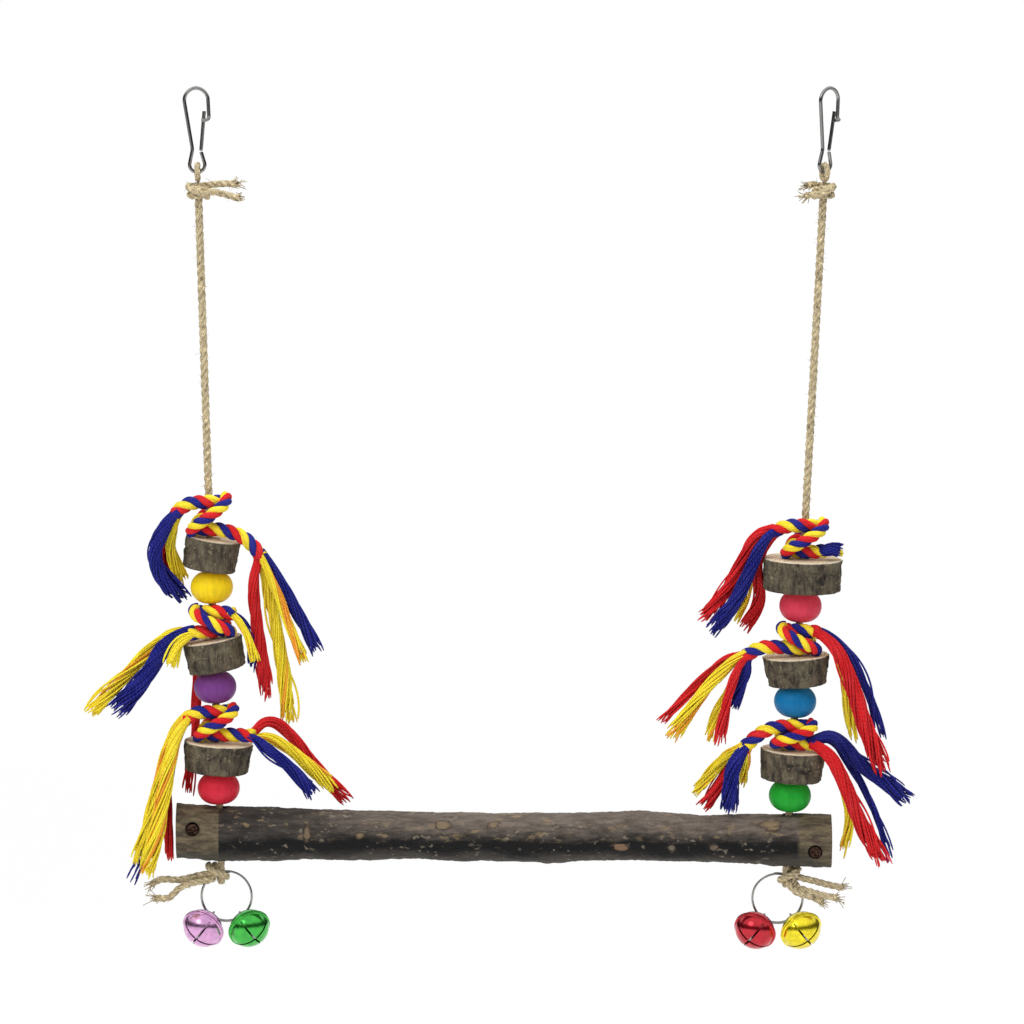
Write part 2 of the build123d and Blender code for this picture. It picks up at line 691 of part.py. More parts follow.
def perch():
    """A branch of uneven thickness, bored for the two ropes and recessed for its screws."""
    start = -perch_shift - perch_length / 2
    stations = [(share * perch_length, lift, radius) for share, lift, radius in perch_form_shares]
    stations.append((rope_hole_inset, *left_hole_form_shares))
    stations.append((perch_length - rope_hole_inset, *right_hole_form_shares))
    with BuildPart() as branch:
        for along, lift_share, radius_share in sorted(stations):
            middle = (start + along, 0, -hang_height + lift_share * perch_diameter)
            with BuildSketch(Plane(origin=middle, x_dir=(0, 1, 0), z_dir=(1, 0, 0))):
                Circle(radius_share * perch_diameter / 2)
        loft()
        for name, side in sides.items():
            line = hanging_line(side)
            with BuildSketch(line.offset(-line_length(side) - perch_diameter)):
                Circle(rope_diameter / 2 + bore_gap)
            extrude(amount=2 * perch_diameter, mode=Mode.SUBTRACT)
            seat = screw_plane(side)
            with BuildSketch(seat):
                Circle(screw_recess_diameter / 2)
            extrude(amount=screw_recess_depth + cut_overrun, mode=Mode.SUBTRACT)
            with BuildSketch(seat):
                Circle(screw_shank_diameter / 2 + screw_gap)
            extrude(amount=-screw_length - screw_gap, mode=Mode.SUBTRACT)
    save(branch, "perch")


def screw_plane(side):
    """Plane of the seat under a screw's head, facing the front."""
    form = perch_form_shares[0] if side < 0 else perch_form_shares[-1]
    lift = form[1] * perch_diameter + (left_screw_lift if side < 0 else right_screw_lift)
    depth = form[2] * perch_diameter / 2 - screw_recess_depth
    along = side * (perch_length / 2 - screw_inset) - perch_shift
    return Plane(origin=(along, -depth, -hang_height + lift), x_dir=(1, 0, 0), z_dir=(0, -1, 0))


def perch_screws():
    """The two recessed cross-head screws near the ends of the perch."""
    with BuildPart() as screws:
        for side in sides.values():
            seat = screw_plane(side)
            with BuildSketch(seat):
                Circle(screw_head_diameter / 2)
            extrude(amount=screw_head_height)
            with BuildSketch(seat):
                Circle(screw_shank_diameter / 2)
            extrude(amount=-screw_length)
            with BuildSketch(seat.offset(screw_head_height)):
                Rectangle(screw_head_diameter - screw_slot_width, screw_slot_width)
                Rectangle(screw_slot_width, screw_head_diameter - screw_slot_width)
            extrude(amount=-screw_slot_depth, mode=Mode.SUBTRACT)
    save(screws, "perch_screws")


def bead(line, height, label):
    """A round bead with flat ends, bored for the rope."""
    middle = line.offset(height)
    section = Plane(origin=middle.origin, x_dir=middle.x_dir, z_dir=middle.y_dir * -1)
    bore, end = rope_diameter / 2 + bore_gap, bead_end_diameter / 2
    with BuildPart() as ball:
        with BuildSketch(section):
            with BuildLine():
                Line((bore, -bead_height / 2), (end, -bead_height / 2))
                ThreePointArc((end, -bead_height / 2), (bead_diameter / 2, 0), (end, bead_height / 2))
                Line((end, bead_height / 2), (bore, bead_height / 2))
                Line((bore, bead_height / 2), (bore, -bead_height / 2))
            make_face()
        revolve(axis=Axis(middle.origin, middle.z_dir))
    save(ball, label)


def slice_plane(line, height, tilt):
    """Plane through the middle of a slice, its Z axis along the slice's own axis."""
    return line.offset(height).rotated((0, tilt, 0))


def wood_slice(line, height, form, label):
    """A slice of branch that tapers a little, bored wide enough to sit askew on its rope."""
    middle = slice_plane(line, height, form["tilt"])
    tilt = radians(abs(form["tilt"]))
    half = form["thickness"] / 2
    bore = rope_diameter / 2 / cos(tilt) + half * tan(tilt) + bore_gap
    with BuildPart() as disc:
        with BuildSketch(middle.offset(-half)):
            Circle(form["foot"] / 2)
        with BuildSketch(middle.offset(half)):
            Circle(form["diameter"] / 2)
        loft()
        chamfer(disc.edges(), length=slice_edge)
        with BuildSketch(middle.offset(-half - cut_overrun)):
            Circle(bore)
        extrude(amount=2 * (half + cut_overrun), mode=Mode.SUBTRACT)
    save(disc, label)


def ply_roots(tip, heading, count, side):
    """Places round a lead's end where its plies start, and the diameter of each there."""
    reach = ply_root_share * cotton_diameter / 2
    apart = sin(pi / count)
    radius = reach * apart / (ply_spacing_share + apart)
    front = Vector(0, -1, 0)
    front = (front - heading * front.dot(heading)).normalized()
    outer = heading.cross(front) * -side
    roots = []
    for number in range(count):
        angle = 2 * pi * number / count
        roots.append(tip + (front * cos(angle) + outer * sin(angle)) * (reach - radius))
    return roots, 2 * radius


def knot_crossing(line, height, hand, rise, label):
    """A short length of cotton that lies aslant over the front of a winding."""
    centre, up, front = spot(line, 0, 0, height), way(line, 0, 0, 1), Vector(0, -1, 0)
    aside = way(line, hand, 0, 0)
    radius = winding_radius + cotton_diameter / 2 + soft_gap + crossing_diameter / 2
    reach, climb = radians(crossing_angle), crossing_share * rise
    stations = []
    for share in (-1, 0, 1):
        angle = reach * share
        point = centre + (front * cos(angle) + aside * sin(angle)) * radius + up * climb * share
        heading = (aside * cos(angle) - front * sin(angle)) * radius * reach + up * climb
        stations.append((point, heading.normalized()))
    return cord_tube(label, crossing_diameter, [], stations, [])


def cotton_tie(line, height, name, rise):
    """A turn of cotton rope round the jute, and the fringe of plies at its two ends."""
    routes = tie_routes[name]
    hand = routes["hand"]
    centre = spot(line, 0, 0, height)
    up, front = way(line, 0, 0, 1), Vector(0, -1, 0)
    aside = way(line, hand, 0, 0)
    turns = winding(centre + up * rise / 2, front, aside, up * -1, winding_radius, rise, 1)
    upper, lower = ("left", "right") if hand > 0 else ("right", "left")
    head = [turns[0][0], turns[0][0] - turns[0][1] * tail_run]
    head += [centre + Vector(*step) for step in routes[f"{upper}_lead"]]
    tail = [turns[-1][0], turns[-1][0] + turns[-1][1] * tail_run]
    tail += [centre + Vector(*step) for step in routes[f"{lower}_lead"]]
    turn = cord_tube(f"{name}_cotton_knot", cotton_diameter, head[::-1], turns, tail)
    crossing = knot_crossing(line, height, hand, rise, f"{name} crossing")
    with BuildPart() as knot:
        add(turn.part)
        add(crossing.part)
    save(knot, f"{name}_cotton_knot")

    with BuildPart() as fringe:
        for end, lead in ((upper, head), (lower, tail)):
            heading = (lead[-1] - lead[-2]).normalized()
            plies = routes[f"{end}_plies"]
            roots, root_diameter = ply_roots(lead[-1], heading, len(plies), sides[end])
            for root, (diameter, steps) in zip(roots, plies):
                points = [root] + [centre + Vector(*step) for step in steps]
                diameters = [diameter] * len(points)
                diameters[0] = root_diameter
                diameters[1] = ply_shoulder_share * diameter
                diameters[-1] = ply_end_share * diameter
                loft(strand_sections(points, heading, diameters))
    print(f"{name}_cotton_fringe: {len(fringe.part.solids())} plies")
    save(fringe, f"{name}_cotton_fringe")


def print_place(label, point, axis):
    """Prints where a joint turns and along which axis, in millimetres."""
    print(f"place {label}", [round(value, 4) for value in (*point, *axis)])


bells = {"left": {-1: "lilac", 1: "green"}, "right": {-1: "red", 1: "gold"}}

perch()
perch_screws()
for side_name, side in sides.items():
    line = hanging_line(side)
    turn = right_hook_turn if side > 0 else 0
    hook_line = turned(line, turn)
    snap_hook(hook_line, f"{side_name}_snap_hook")
    hook_gate(hook_line, f"{side_name}_hook_gate")
    gate_foot = spot(hook_line, hook_waist_width / 2, 0, -hook_waist_drop)
    print_place(f"{side_name}_gate", gate_foot, hook_line.y_dir * -1)
    print_place(f"{side_name}_eye", spot(line, 0, 0, -hook_eye_drop), (1, 0, 0))

    rope_top = -hook_eye_drop - hook_loop_radius - hook_loop_cord / 2 - soft_gap
    lift, radius = perch_form(side)
    rope_foot = -line_length(side) + lift - radius
    rope(line, rope_top, rope_foot, f"{side_name}_hanging_rope")
    tails = left_hook_tails if side < 0 else right_hook_tails
    loop_turn = right_loop_turn if side > 0 else 0
    hook_knot(line, side, loop_turn, rope_top - knot_cord / 2, tails, f"{side_name}_hook_knot")

    pivot, axis, centre = ring_place(line, side)
    print_place(f"{side_name}_ring", pivot, axis)
    tail = left_ring_tail if side < 0 else right_ring_tail
    ends = left_ring_ends if side < 0 else right_ring_ends
    ring_knot(line, side, spot(line, 0, 0, rope_foot).Z, tail, ends, f"{side_name}_ring_knot")
    split_ring(line, side, f"{side_name}_split_ring")
    for hand, colour in bells[side_name].items():
        bell(line, side, hand, f"{side_name}_{colour}")
        hang = bell_plane(line, side, hand)
        print_place(f"{side_name}_{colour}_bell", hang.origin, hang.x_dir)
        middle = hang.offset(-bell_loop_neck - bell_dome_height)
        print_place(f"{side_name}_{colour}_pellet", middle.origin, hang.x_dir)

    for level, heights in stack_heights(side_name).items():
        name = f"{side_name}_{level}"
        bead(line, heights["bead"], f"{name}_bead")
        wood_slice(line, heights["slice"], slices[name], f"{name}_wood_slice")
        cotton_tie(line, heights["tie"], name, tie_rises[name])
        print_place(f"{name}_bead", spot(line, 0, 0, heights["bead"]), line.z_dir)
        middle = slice_plane(line, heights["slice"], slices[name]["tilt"])
        print_place(f"{name}_slice", middle.origin, middle.z_dir)
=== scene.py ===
"""Looks of a bird swing: jute ropes, cotton ties with fringed ends, bark, dyed beads and bells."""

import math

import bmesh
import bpy
import numpy as np
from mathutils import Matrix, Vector


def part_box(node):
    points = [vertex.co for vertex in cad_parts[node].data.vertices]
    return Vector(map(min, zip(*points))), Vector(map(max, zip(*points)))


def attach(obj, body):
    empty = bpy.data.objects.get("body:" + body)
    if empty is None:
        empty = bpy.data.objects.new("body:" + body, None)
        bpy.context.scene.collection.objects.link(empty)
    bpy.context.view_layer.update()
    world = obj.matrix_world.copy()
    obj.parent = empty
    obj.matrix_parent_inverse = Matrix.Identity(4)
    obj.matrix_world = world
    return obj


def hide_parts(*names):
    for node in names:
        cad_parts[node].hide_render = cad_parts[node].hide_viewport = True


bl_info = {
    "name": "Bird Swing",
    "version": (1, 0, 0),
    "blender": (4, 5, 0),
    "location": "3D View > Sidebar > Swing",
    "description": "Builds the ropes, ties, wood and finishes of a bird swing on its frame",
    "category": "Object",
}

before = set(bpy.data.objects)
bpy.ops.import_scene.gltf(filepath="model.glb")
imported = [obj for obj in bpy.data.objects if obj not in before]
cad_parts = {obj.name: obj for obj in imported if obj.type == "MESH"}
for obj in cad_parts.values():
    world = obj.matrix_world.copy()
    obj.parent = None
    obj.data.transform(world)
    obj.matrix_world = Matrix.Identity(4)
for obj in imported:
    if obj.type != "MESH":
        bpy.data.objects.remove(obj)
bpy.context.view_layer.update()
rng = np.random.default_rng(7)

MM = 0.001
SIDES = {"left": -1, "right": 1}
LEVELS = ("lower", "middle", "upper")
BACK, FRONT, DOWN = np.array([0.0, 1, 0]), np.array([0.0, -1, 0]), np.array([0.0, 0, -1])
WHITE = (1.0, 1.0, 1.0, 1)

# Hanging layout, in millimetres
HOOK_SPACING = 280.8
HANG_HEIGHT = 336.0
HOLE_SPACING = 255.0
PERCH_SHIFT = 3.6
PERCH_LENGTH = 294.0
PERCH_DIAMETER = 23.6
SOFT_GAP = 0.3
COIL_GAP = 0.45
SEAT_GAP = 0.75
RING_GAP = 0.8
BORE_GAP = 0.4
BEAD_HEIGHT = 13.8
BEAD_END = 8.4
EYE_DROP = 36.5
EYE_LOOP = 3.3
EYE_CORD = 2.6
EYE_TURN = {"left": 0.0, "right": 20.0}
TAIL_RUN = 3.0
CROSSING_LIFT = 1.4
RING_WIRE = 1.0
RING_REACH = math.hypot(RING_WIRE + COIL_GAP / 2, RING_WIRE / 2)

# Laid rope: its strands, their reach and radius as shares of its diameter, and how short its lay is
# where a knot pulls it tight
STRANDS = 3
STRAND_REACH = 0.245
STRAND_RADIUS = 0.262
TIGHT_LAY = 0.85

# Points round a strand, a yarn and a fibre, and along one turn of a route and the loop in a hook's eye
JUTE_SIDES, COTTON_SIDES, YARN_SIDES, FIBRE_SIDES = 9, 12, 5, 4
ROUTE_POINTS, LOOP_POINTS = 8, 60

# Distance between points along a rope, a knot, a tie and a loose ply, in metres
ROPE_STEP, KNOT_STEP, TIE_STEP, PLY_STEP = 0.0008, 0.0006, 0.0007, 0.0019

# Loose fibres on a rope and on a knot: how many and how long; how many at a cut end; their radii, in metres
ROPE_FIBRES, KNOT_FIBRES, FRAYED_FIBRES = (300, 0.0016), (60, 0.0018), 30
FIBRE_RADIUS, FRAYED_RADIUS = 0.00006, 0.00017

# A loose ply: how much wider it lies than when laid, the share of it that is yarn, the angle from one yarn
# to the next, the length of a yarn's turn and wave, its stir, and how many yarns stir how much more
LOOSE_PLY, YARN_FILL, YARN_ANGLE = 1.28, 0.6, 2.39996
YARN_TURN, YARN_WAVE, YARN_STIR = 0.075, 0.04, 0.00042
STRAY_SHARE, STRAY_STIR = 0.07, 4.5

# The fewest yarns in a ply, the share of yellow yarns that took up red and their tint; the reach at which
# plies leave their rope as a share of its diameter, and the millimetres of each that stay in the rope
LEAST_YARNS, BLED_SHARE, BLED_TINT = 12, 0.1, np.array([1.0, 0.5, 1.0, 1.0])
PLY_REACH, PLY_ROOT = 0.24, 2.5

# Millimetres that the maps of neighbouring strands lie apart, so that no two look alike
MAP_SHIFT = 13.7

# Points along and round the perch and rings that close its ends; points across a slice's sawn face, up its
# bark and round it
PERCH_ROWS, PERCH_COLUMNS, END_RINGS = 560, 150, 8
FACE_ROWS, BARK_ROWS, SLICE_COLUMNS = 16, 40, 230

# Relief in millimetres: a slice's lumps, furrows, splits, lost bark and saw marks; the perch's knots and lost
# bark; the dome of its ends, their roughness and the most that they stand out
LUMP_DEPTH, FURROW_DEPTH, SPLIT_DEPTH, SLICE_LOSS, SAW_DEPTH = 0.45, 0.34, 1.3, 0.35, 0.08
KNOT_DEPTH, PERCH_LOSS = 0.5, 0.3
END_DOME, END_ROUGH, END_LIMIT = 0.25, 0.08, 0.3

# Worn edge of a slice, and the perch's rope holes and screw recesses: reach, width of the edge and depth
SLICE_EDGE = 0.55
ROPE_HOLE = (2.6, 0.4, 3.0)
SCREW_RECESS = (3.3, 0.5, 3.0)
SCREW_INSET = 2.4
SCREW_RISE = {"left": 2.2, "right": -2.9}

# A bell's crimped rim: points round it and across, half its height, and its reach beyond the bell's radius
CRIMP_ROWS, CRIMP_COLUMNS = 96, 25
CRIMP_HALF, CRIMP_FOLD, CRIMP_FOOT, CRIMP_INSIDE = 1.15, 0.85, -0.5, -0.8

# Slices: diameter at the top and the foot, thickness, and lean on the rope in degrees
SLICES = {
    "left_upper": (25.0, 24.0, 14.2, 10.5),
    "left_middle": (27.0, 26.0, 14.0, -8.5),
    "left_lower": (32.4, 29.0, 13.5, 5.5),
    "right_upper": (35.5, 34.5, 14.4, -1.0),
    "right_middle": (31.0, 26.5, 13.2, -6.0),
    "right_lower": (29.3, 27.5, 13.8, 1.0),
}

# How far each tie's turn climbs, in millimetres
TIE_RISES = {
    "left_upper": 12.2,
    "left_middle": 8.5,
    "left_lower": 10.3,
    "right_upper": 11.7,
    "right_middle": 7.8,
    "right_lower": 7.8,
}

# Form of the branch: share of its length, lift and radius as shares of its size
BRANCH_FORM = (
    (0.000, 0.127, 1.069),
    (0.066, 0.060, 1.115),
    (0.133, 0.045, 1.030),
    (0.200, 0.055, 0.985),
    (0.300, 0.025, 0.950),
    (0.400, 0.005, 0.945),
    (0.500, -0.008, 0.973),
    (0.600, -0.018, 0.960),
    (0.700, 0.012, 0.985),
    (0.800, -0.046, 0.920),
    (0.867, -0.050, 0.985),
    (0.934, -0.044, 1.031),
    (1.000, -0.096, 1.027),
)

# Lift and radius of the branch at each rope hole
HOLE_FORM = {"left": (0.060, 1.115), "right": (-0.044, 1.031)}

# Routes of the ties from the middle of each winding: the lead of twisted rope at either
# end, then its plies from the front round the outer side with their dye and diameter
TIE_ROUTES = {
    "left_upper": {
        "hand": 1,
        "left_lead": [(-10, -5.6, 5.6), (-15, -5, 1)],
        "left_plies": [
            ("blue", 5.4,
             [(-20.5, -4, -6), (-24.5, -2, -15.5), (-24.5, 0, -23), (-20, 3, -32), (-13, 5, -38)]),
            ("red", 3.4, [(-18.5, 6, -7), (-21, 8, -17), (-19.5, 9, -26), (-16, 10, -32)]),
            ("yellow", 4.2, [(-17, 1, -8), (-18, 3, -16), (-15.5, 5, -24), (-12.5, 8, -31)]),
        ],
        "right_lead": [(10.5, -5.8, -7.4), (18, -6, -11), (23.5, -5.5, -18.5)],
        "right_plies": [
            ("yellow", 3.6, [(28, -6, -29), (32.5, -5, -41), (37, -3, -54), (41.5, -2, -65.5)]),
            ("blue", 4.4, [(30, -2, -28), (36.5, -1, -39), (42, 0, -50), (47.5, 1, -61)]),
            ("yellow", 4.6, [(25, 1, -30), (28.5, 3, -47), (32, 5, -66), (35, 6, -93)]),
            ("red", 4.6, [(19.5, -3, -28), (20, 0, -42), (22, 3, -58), (24.5, 5, -82)]),
        ],
    },
    "left_middle": {
        "hand": -1,
        "left_lead": [(-10, -6.2, -5.6)],
        "left_plies": [
            ("yellow", 3.8, [(-15.2, -9, -9.4), (-17.4, -9.2, -15), (-18.7, -8.6, -19.5)]),
            ("blue", 5.8,
             [(-16.2, -5, -7), (-22, -4, -12), (-27, -3, -20.5), (-34, -2, -30.5), (-43, 0, -41)]),
            ("yellow", 4.4, [(-17, 3, -5.5), (-25, 5, -11), (-36, 5, -22), (-46, 4, -33), (-54, 3, -42)]),
            ("red", 3.4,
             [(-13.4, 5, -5.8), (-11.4, 16.6, -10.4), (-8, 18, -27), (-8.5, 18, -45), (-10, 18, -62),
                          (-12.5, 16, -80)]),
        ],
        "right_lead": [(9.5, -6.5, 3.6)],
        "right_plies": [
            ("yellow", 3.2, [(13.5, -8.5, -1.5), (17, -9, -9), (19, -9, -17)]),
            ("blue", 2.8, [(13.5, -2, 0), (16.8, 0, -7), (17.5, 2, -14), (17.8, 4, -23)]),
        ],
    },
    "left_lower": {
        "hand": 1,
        "left_lead": [(-9.5, -6, 5), (-14, -6.5, 1.5)],
        "left_plies": [
            ("yellow", 5.4,
             [(-18.5, -8.5, -7), (-21.5, -10, -20), (-24, -13, -35), (-27, -14, -50), (-31, -13, -66)]),
            ("yellow", 4.0,
             [(-21, -3, -7), (-24.5, -3, -21), (-28.5, -4, -36), (-32, -4, -50), (-35.5, -4, -63)]),
            ("red", 3.4, [(-19, 6, -8), (-23, 7, -25), (-22.5, 6, -44), (-21.5, 5, -62)]),
            ("blue", 2.8,
             [(-17.8, 0.5, -9), (-20, 1.5, -20), (-24, 1.5, -34), (-30, 1.5, -52), (-37, 1, -71)]),
        ],
        "right_lead": [(10, -6, -5.2), (17, -6.5, -5.6)],
        "right_plies": [
            ("blue", 4.4, [(23.5, -10.5, -11.5), (31, -10, -17), (38, -8, -24.5), (43, -5, -32)]),
            ("red", 4.4, [(21.5, -1.5, 0.5), (29, 4, -2), (38, 8, -14), (48, 11, -28.5), (57, 13, -37)]),
            ("yellow", 4.4, [(24, -4, -6.5), (35, -2, -14), (45, 0, -23.5), (51.5, 3, -30.5)]),
        ],
    },
    "right_upper": {
        "hand": 1,
        "left_lead": [(-9.5, -5, 5.6), (-15, -3.5, 2.5)],
        "left_plies": [
            ("blue", 5.0,
             [(-20, -5.5, -4), (-24, -3.5, -14), (-29, -2, -26), (-35, 0, -35), (-41, 1, -42)]),
            ("red", 4.4,
             [(-22, -1.5, 1.5), (-27, 2, -9.5), (-32, 5, -21), (-38.5, 6, -30.5), (-45, 7, -37.5)]),
            ("yellow", 3.2,
             [(-19.5, 4.5, -3), (-23.5, 10, -13), (-24, 14, -25), (-26.5, 14, -33), (-30, 13, -39)]),
            ("red", 4.2,
             [(-18.5, -1.5, -5), (-21.5, 4.5, -13), (-19, 9, -26), (-20.5, 10, -34), (-25.5, 10, -42)]),
        ],
        "right_lead": [(9, -5.8, -5.4)],
        "right_plies": [
            ("blue", 4.8, [(12.5, -6.8, -3.8), (16, -6.5, -5)]),
            ("yellow", 2.6, [(13, -2, -6.2), (17, -1.5, -7)]),
        ],
    },
    "right_middle": {
        "hand": -1,
        "left_lead": [(-11, -6, -3.2), (-19, -6, -3.6), (-24.5, -5.5, -8)],
        "left_plies": [
            ("red", 3.6, [(-28, -9, -13), (-31, -9, -22), (-33.5, -8, -33), (-35, -7, -46)]),
            ("yellow", 4.4, [(-31, -6, -10.5), (-40, -6, -20), (-49, -5, -32), (-56, -4, -44)]),
            ("red", 3.2, [(-31.5, -1, -8), (-41, 0, -16.5), (-52, 0, -28), (-60.5, 0, -37.5)]),
            ("blue", 3.2, [(-29, 4, -10), (-33, 5, -15), (-37.5, 5, -20)]),
            ("yellow", 3.8, [(-27, 2, -16), (-32, 2, -26), (-37, 2, -36), (-39.5, 2, -46)]),
            ("blue", 4.2, [(-23.5, -5, -15), (-26, -3, -22), (-29.5, -2, -31)]),
        ],
        "right_lead": [(9, -6.5, 3.4)],
        "right_plies": [
            ("red", 5.4, [(15, -9, -1.5), (20.5, -9.5, -11), (24, -8, -21), (28, -6, -34), (32.5, -4, -47),
                          (37, -2, -59)]),
            ("blue", 3.2, [(16, -1.5, 0.5), (23, 0, -8), (28.5, 1, -18), (33, 2, -30), (37.5, 3, -45)]),
            ("yellow", 3.2, [(16.5, -2, -5), (20, 2, -15), (22, 2, -31), (25, 2, -46)]),
        ],
    },
    "right_lower": {
        "hand": 1,
        "left_lead": [(-10, -6, 3.4), (-17.5, -6.5, -0.5), (-23, -6.5, -6.5)],
        "left_plies": [
            ("blue", 5.6, [(-27, -9, -13), (-28.5, -7, -23), (-28, -3, -33.5)]),
            ("yellow", 3.8, [(-30, -1, -10), (-37, 3, -19), (-43.5, 5, -28)]),
            ("red", 4.2, [(-28, 4, -13), (-33, 3.5, -25), (-40, 4, -34.5)]),
            ("yellow", 3.2, [(-21.5, -3, -13), (-22, 2, -18.5), (-22.5, 4, -24)]),
        ],
        "right_lead": [(9.5, -6.2, -3.9)],
        "right_plies": [
            ("red", 5.4,
             [(16, -9.5, -8), (21.5, -9.5, -19), (27, -8, -33), (33.5, -6, -46), (39.5, -4, -57.5)]),
            ("blue", 5.2, [(17, -3, 0), (24, 0, -7.5), (32, 2, -16.5), (42, 3, -23.5), (51, 4, -31)]),
            ("blue", 2.8, [(17, 5, -3.5), (24, 8, -13), (32, 6, -26), (38, 2, -39), (44, 1, -56.5)]),
            ("yellow", 3.2,
             [(17.5, -2, -9), (22, -2, -22), (25.5, -2, -37), (24, -2, -47), (22.5, -2, -55)]),
        ],
    },
}

# Loose jute ends, from where each leaves its winding
HOOK_TAILS = {
    "left": ([(10, 2, 1.0), (17.5, 0.5, 0.8)], [(5, -4.4, 2.0), (10.5, -4.2, 0.8), (18, -2.6, -1.8)]),
    "right": ([(-5, 3.2, 0.6), (-7, 2, 0.2)], [(-5.5, -3.6, 0.6), (-8, -3, -0.8)]),
}
RING_TAILS = {
    "left": [(-0.4, -0.6, -2.4), (-4.5, -3.6, -2.2), (-9.4, -4.8, -2.8), (-14.3, -5.4, -4.4),
             (-17, -5.4, -6.8), (-19, -5.2, -9.2), (-21.8, -5, -10.2), (-26, -4.8, -9.8)],
    "right": [(0, 0, -3.8), (6.5, -4.6, -5.2), (13, -5.6, -7), (19, -5.4, -8.2)],
}
RING_ENDS = {
    "left": [[(1, -3.6, 0.6), (-4, -5.4, 0.2), (-8.2, -5.8, -0.9), (-14, -6, -2.2), (-19, -5.8, -1.6),
              (-23, -5.4, -2), (-26, -5, -4.2)]],
    "right": [
        [(0, -3.9, 0.4), (7, -5, -1), (14, -5.5, -3), (20, -5, -4.2)],
        [(-5, -4.4, -1.6), (-3, -6.4, -4.0), (-0.8, -7.5, -5.8), (1.8, -8.2, -6.8), (6, -8.5, -7.6),
         (11, -9, -9.9)],
    ],
}

# Scars on the front of the perch: place along and up, half length and half height in metres, colour
BARK_SCARS = (
    (0.0486, -0.3388, 0.0032, 0.0014, (0.27, 0.165, 0.10, 1)),
    (0.0715, -0.3392, 0.0021, 0.0021, (0.20, 0.175, 0.13, 1)),
    (0.0905, -0.3392, 0.0021, 0.0016, (0.17, 0.13, 0.095, 1)),
    (0.1161, -0.3285, 0.0040, 0.0034, (0.28, 0.20, 0.115, 1)),
    (-0.0920, -0.3330, 0.0015, 0.0042, (0.22, 0.16, 0.10, 1)),
    (-0.0680, -0.3335, 0.0030, 0.0015, (0.24, 0.18, 0.10, 1)),
    (-0.0310, -0.3295, 0.0028, 0.0016, (0.22, 0.16, 0.095, 1)),
    (-0.0080, -0.3295, 0.0027, 0.0015, (0.22, 0.16, 0.095, 1)),
)

# Finish and dye of each bead, and lacquer of each bell
BEAD_DYES = {
    "left_upper": ("yellow_bead", (0.86, 0.60, 0.01)),
    "left_middle": ("purple_bead", (0.17, 0.045, 0.22)),
    "left_lower": ("red_bead", (0.66, 0.025, 0.05)),
    "right_upper": ("coral_bead", (0.64, 0.045, 0.085)),
    "right_middle": ("blue_bead", (0.006, 0.16, 0.38)),
    "right_lower": ("green_bead", (0.015, 0.34, 0.03)),
}
BELL_LACQUERS = {
    "left_lilac": (0.72, 0.38, 0.66),
    "left_green": (0.05, 0.48, 0.06),
    "right_red": (0.55, 0.015, 0.03),
    "right_gold": (0.90, 0.74, 0.015),
}

# Colours of metal, bark and wood, the darker one first where there are two
NICKEL = (0.25, 0.25, 0.245, 1), (0.42, 0.415, 0.40, 1)
RUSTY_STEEL = (0.025, 0.014, 0.010, 1), (0.16, 0.09, 0.065, 1)
# Painted top light: the perch's upper side in a lighter taupe
LIT_TOP_BARK = (0.085, 0.068, 0.056, 1), (0.175, 0.142, 0.118, 1)
# Painted floor light: the perch's underside in a lighter grey, as light thrown up from the floor
FLOOR_LIT_UNDERSIDE = (0.04, 0.036, 0.03, 1), (0.1, 0.09, 0.075, 1)
# Painted shade: the nearly black band below the perch's middle
SHADE_BAND_BARK = (0.003, 0.003, 0.0034, 1), (0.009, 0.0085, 0.0085, 1)
WORN_END = (0.05, 0.04, 0.027, 1), (0.185, 0.145, 0.088, 1)
# The second colour is painted shade on the underside of the worn ends
END_BLOTCH, END_UNDERSIDE_SHADE = (0.065, 0.045, 0.035, 1), (0.052, 0.056, 0.046, 1)
TAN_PATCH, PALE_FLECK = (0.25, 0.18, 0.10, 1), (0.22, 0.185, 0.14, 1)
# The second colour is painted shade inside the rope holes and screw recesses
SCAR_RIM, HOLE_SHADE = (0.022, 0.012, 0.009, 1), (0.010, 0.007, 0.005, 1)
SLICE_BARK, LICHEN = (0.135, 0.108, 0.072, 1), (0.165, 0.142, 0.092, 1)
PALE_SPECK, PALE_RIM = (0.25, 0.205, 0.13, 1), (0.82, 0.72, 0.55, 1)

# Where the bark begins to be worn and where it is off, at the left and right end of the perch, in metres
WORN_LEFT, WORN_RIGHT = (-0.1312, -0.1318), (0.1275, 0.1295)

# The stage, in metres, degrees and watts: the floor's rings, greys and fade to white; each lamp's place, size
# and power; the surround, with the band and window that glossy pieces see; the camera
FLOOR_HEIGHT = -0.52
FLOOR_RINGS = (0.0, 0.4, 0.8, 1.2, 1.8, 3.0, 6.0, 12.0)
FLOOR_COLUMNS = 48
FLOOR_GREYS = (0.86, 0.86, 0.86, 1), (0.9, 0.9, 0.9, 1)
FLOOR_FADE = (0.6, 1.8)
LAMPS = {
    "key": ((-1.0, -1.4, 1.2), 2.0, 34),
    "fill": ((1.5, -1.3, 0.3), 1.4, 5),
    "top": ((0.1, -0.1, 1.4), 2.0, 26),
    "back": ((0.7, 1.7, 0.3), 2.0, 16),
}
LAMP_TARGET = (0, 0, -0.2)
SURROUND, DARK_BAND, WINDOW = (0.25, 0.25, 0.25, 1), (0.03, 0.03, 0.035, 1), (3.0, 3.0, 3.0, 1)
WINDOW_WAY = (-0.5, -0.68, 0.54)
CAMERA_RISE, CAMERA_DISTANCE = 8.0, 3.0
VIEW_WIDTH, VIEW_CENTRE = 0.4572, (0.0, 0.0, -0.1887)
SENSOR_WIDTH = 36.0


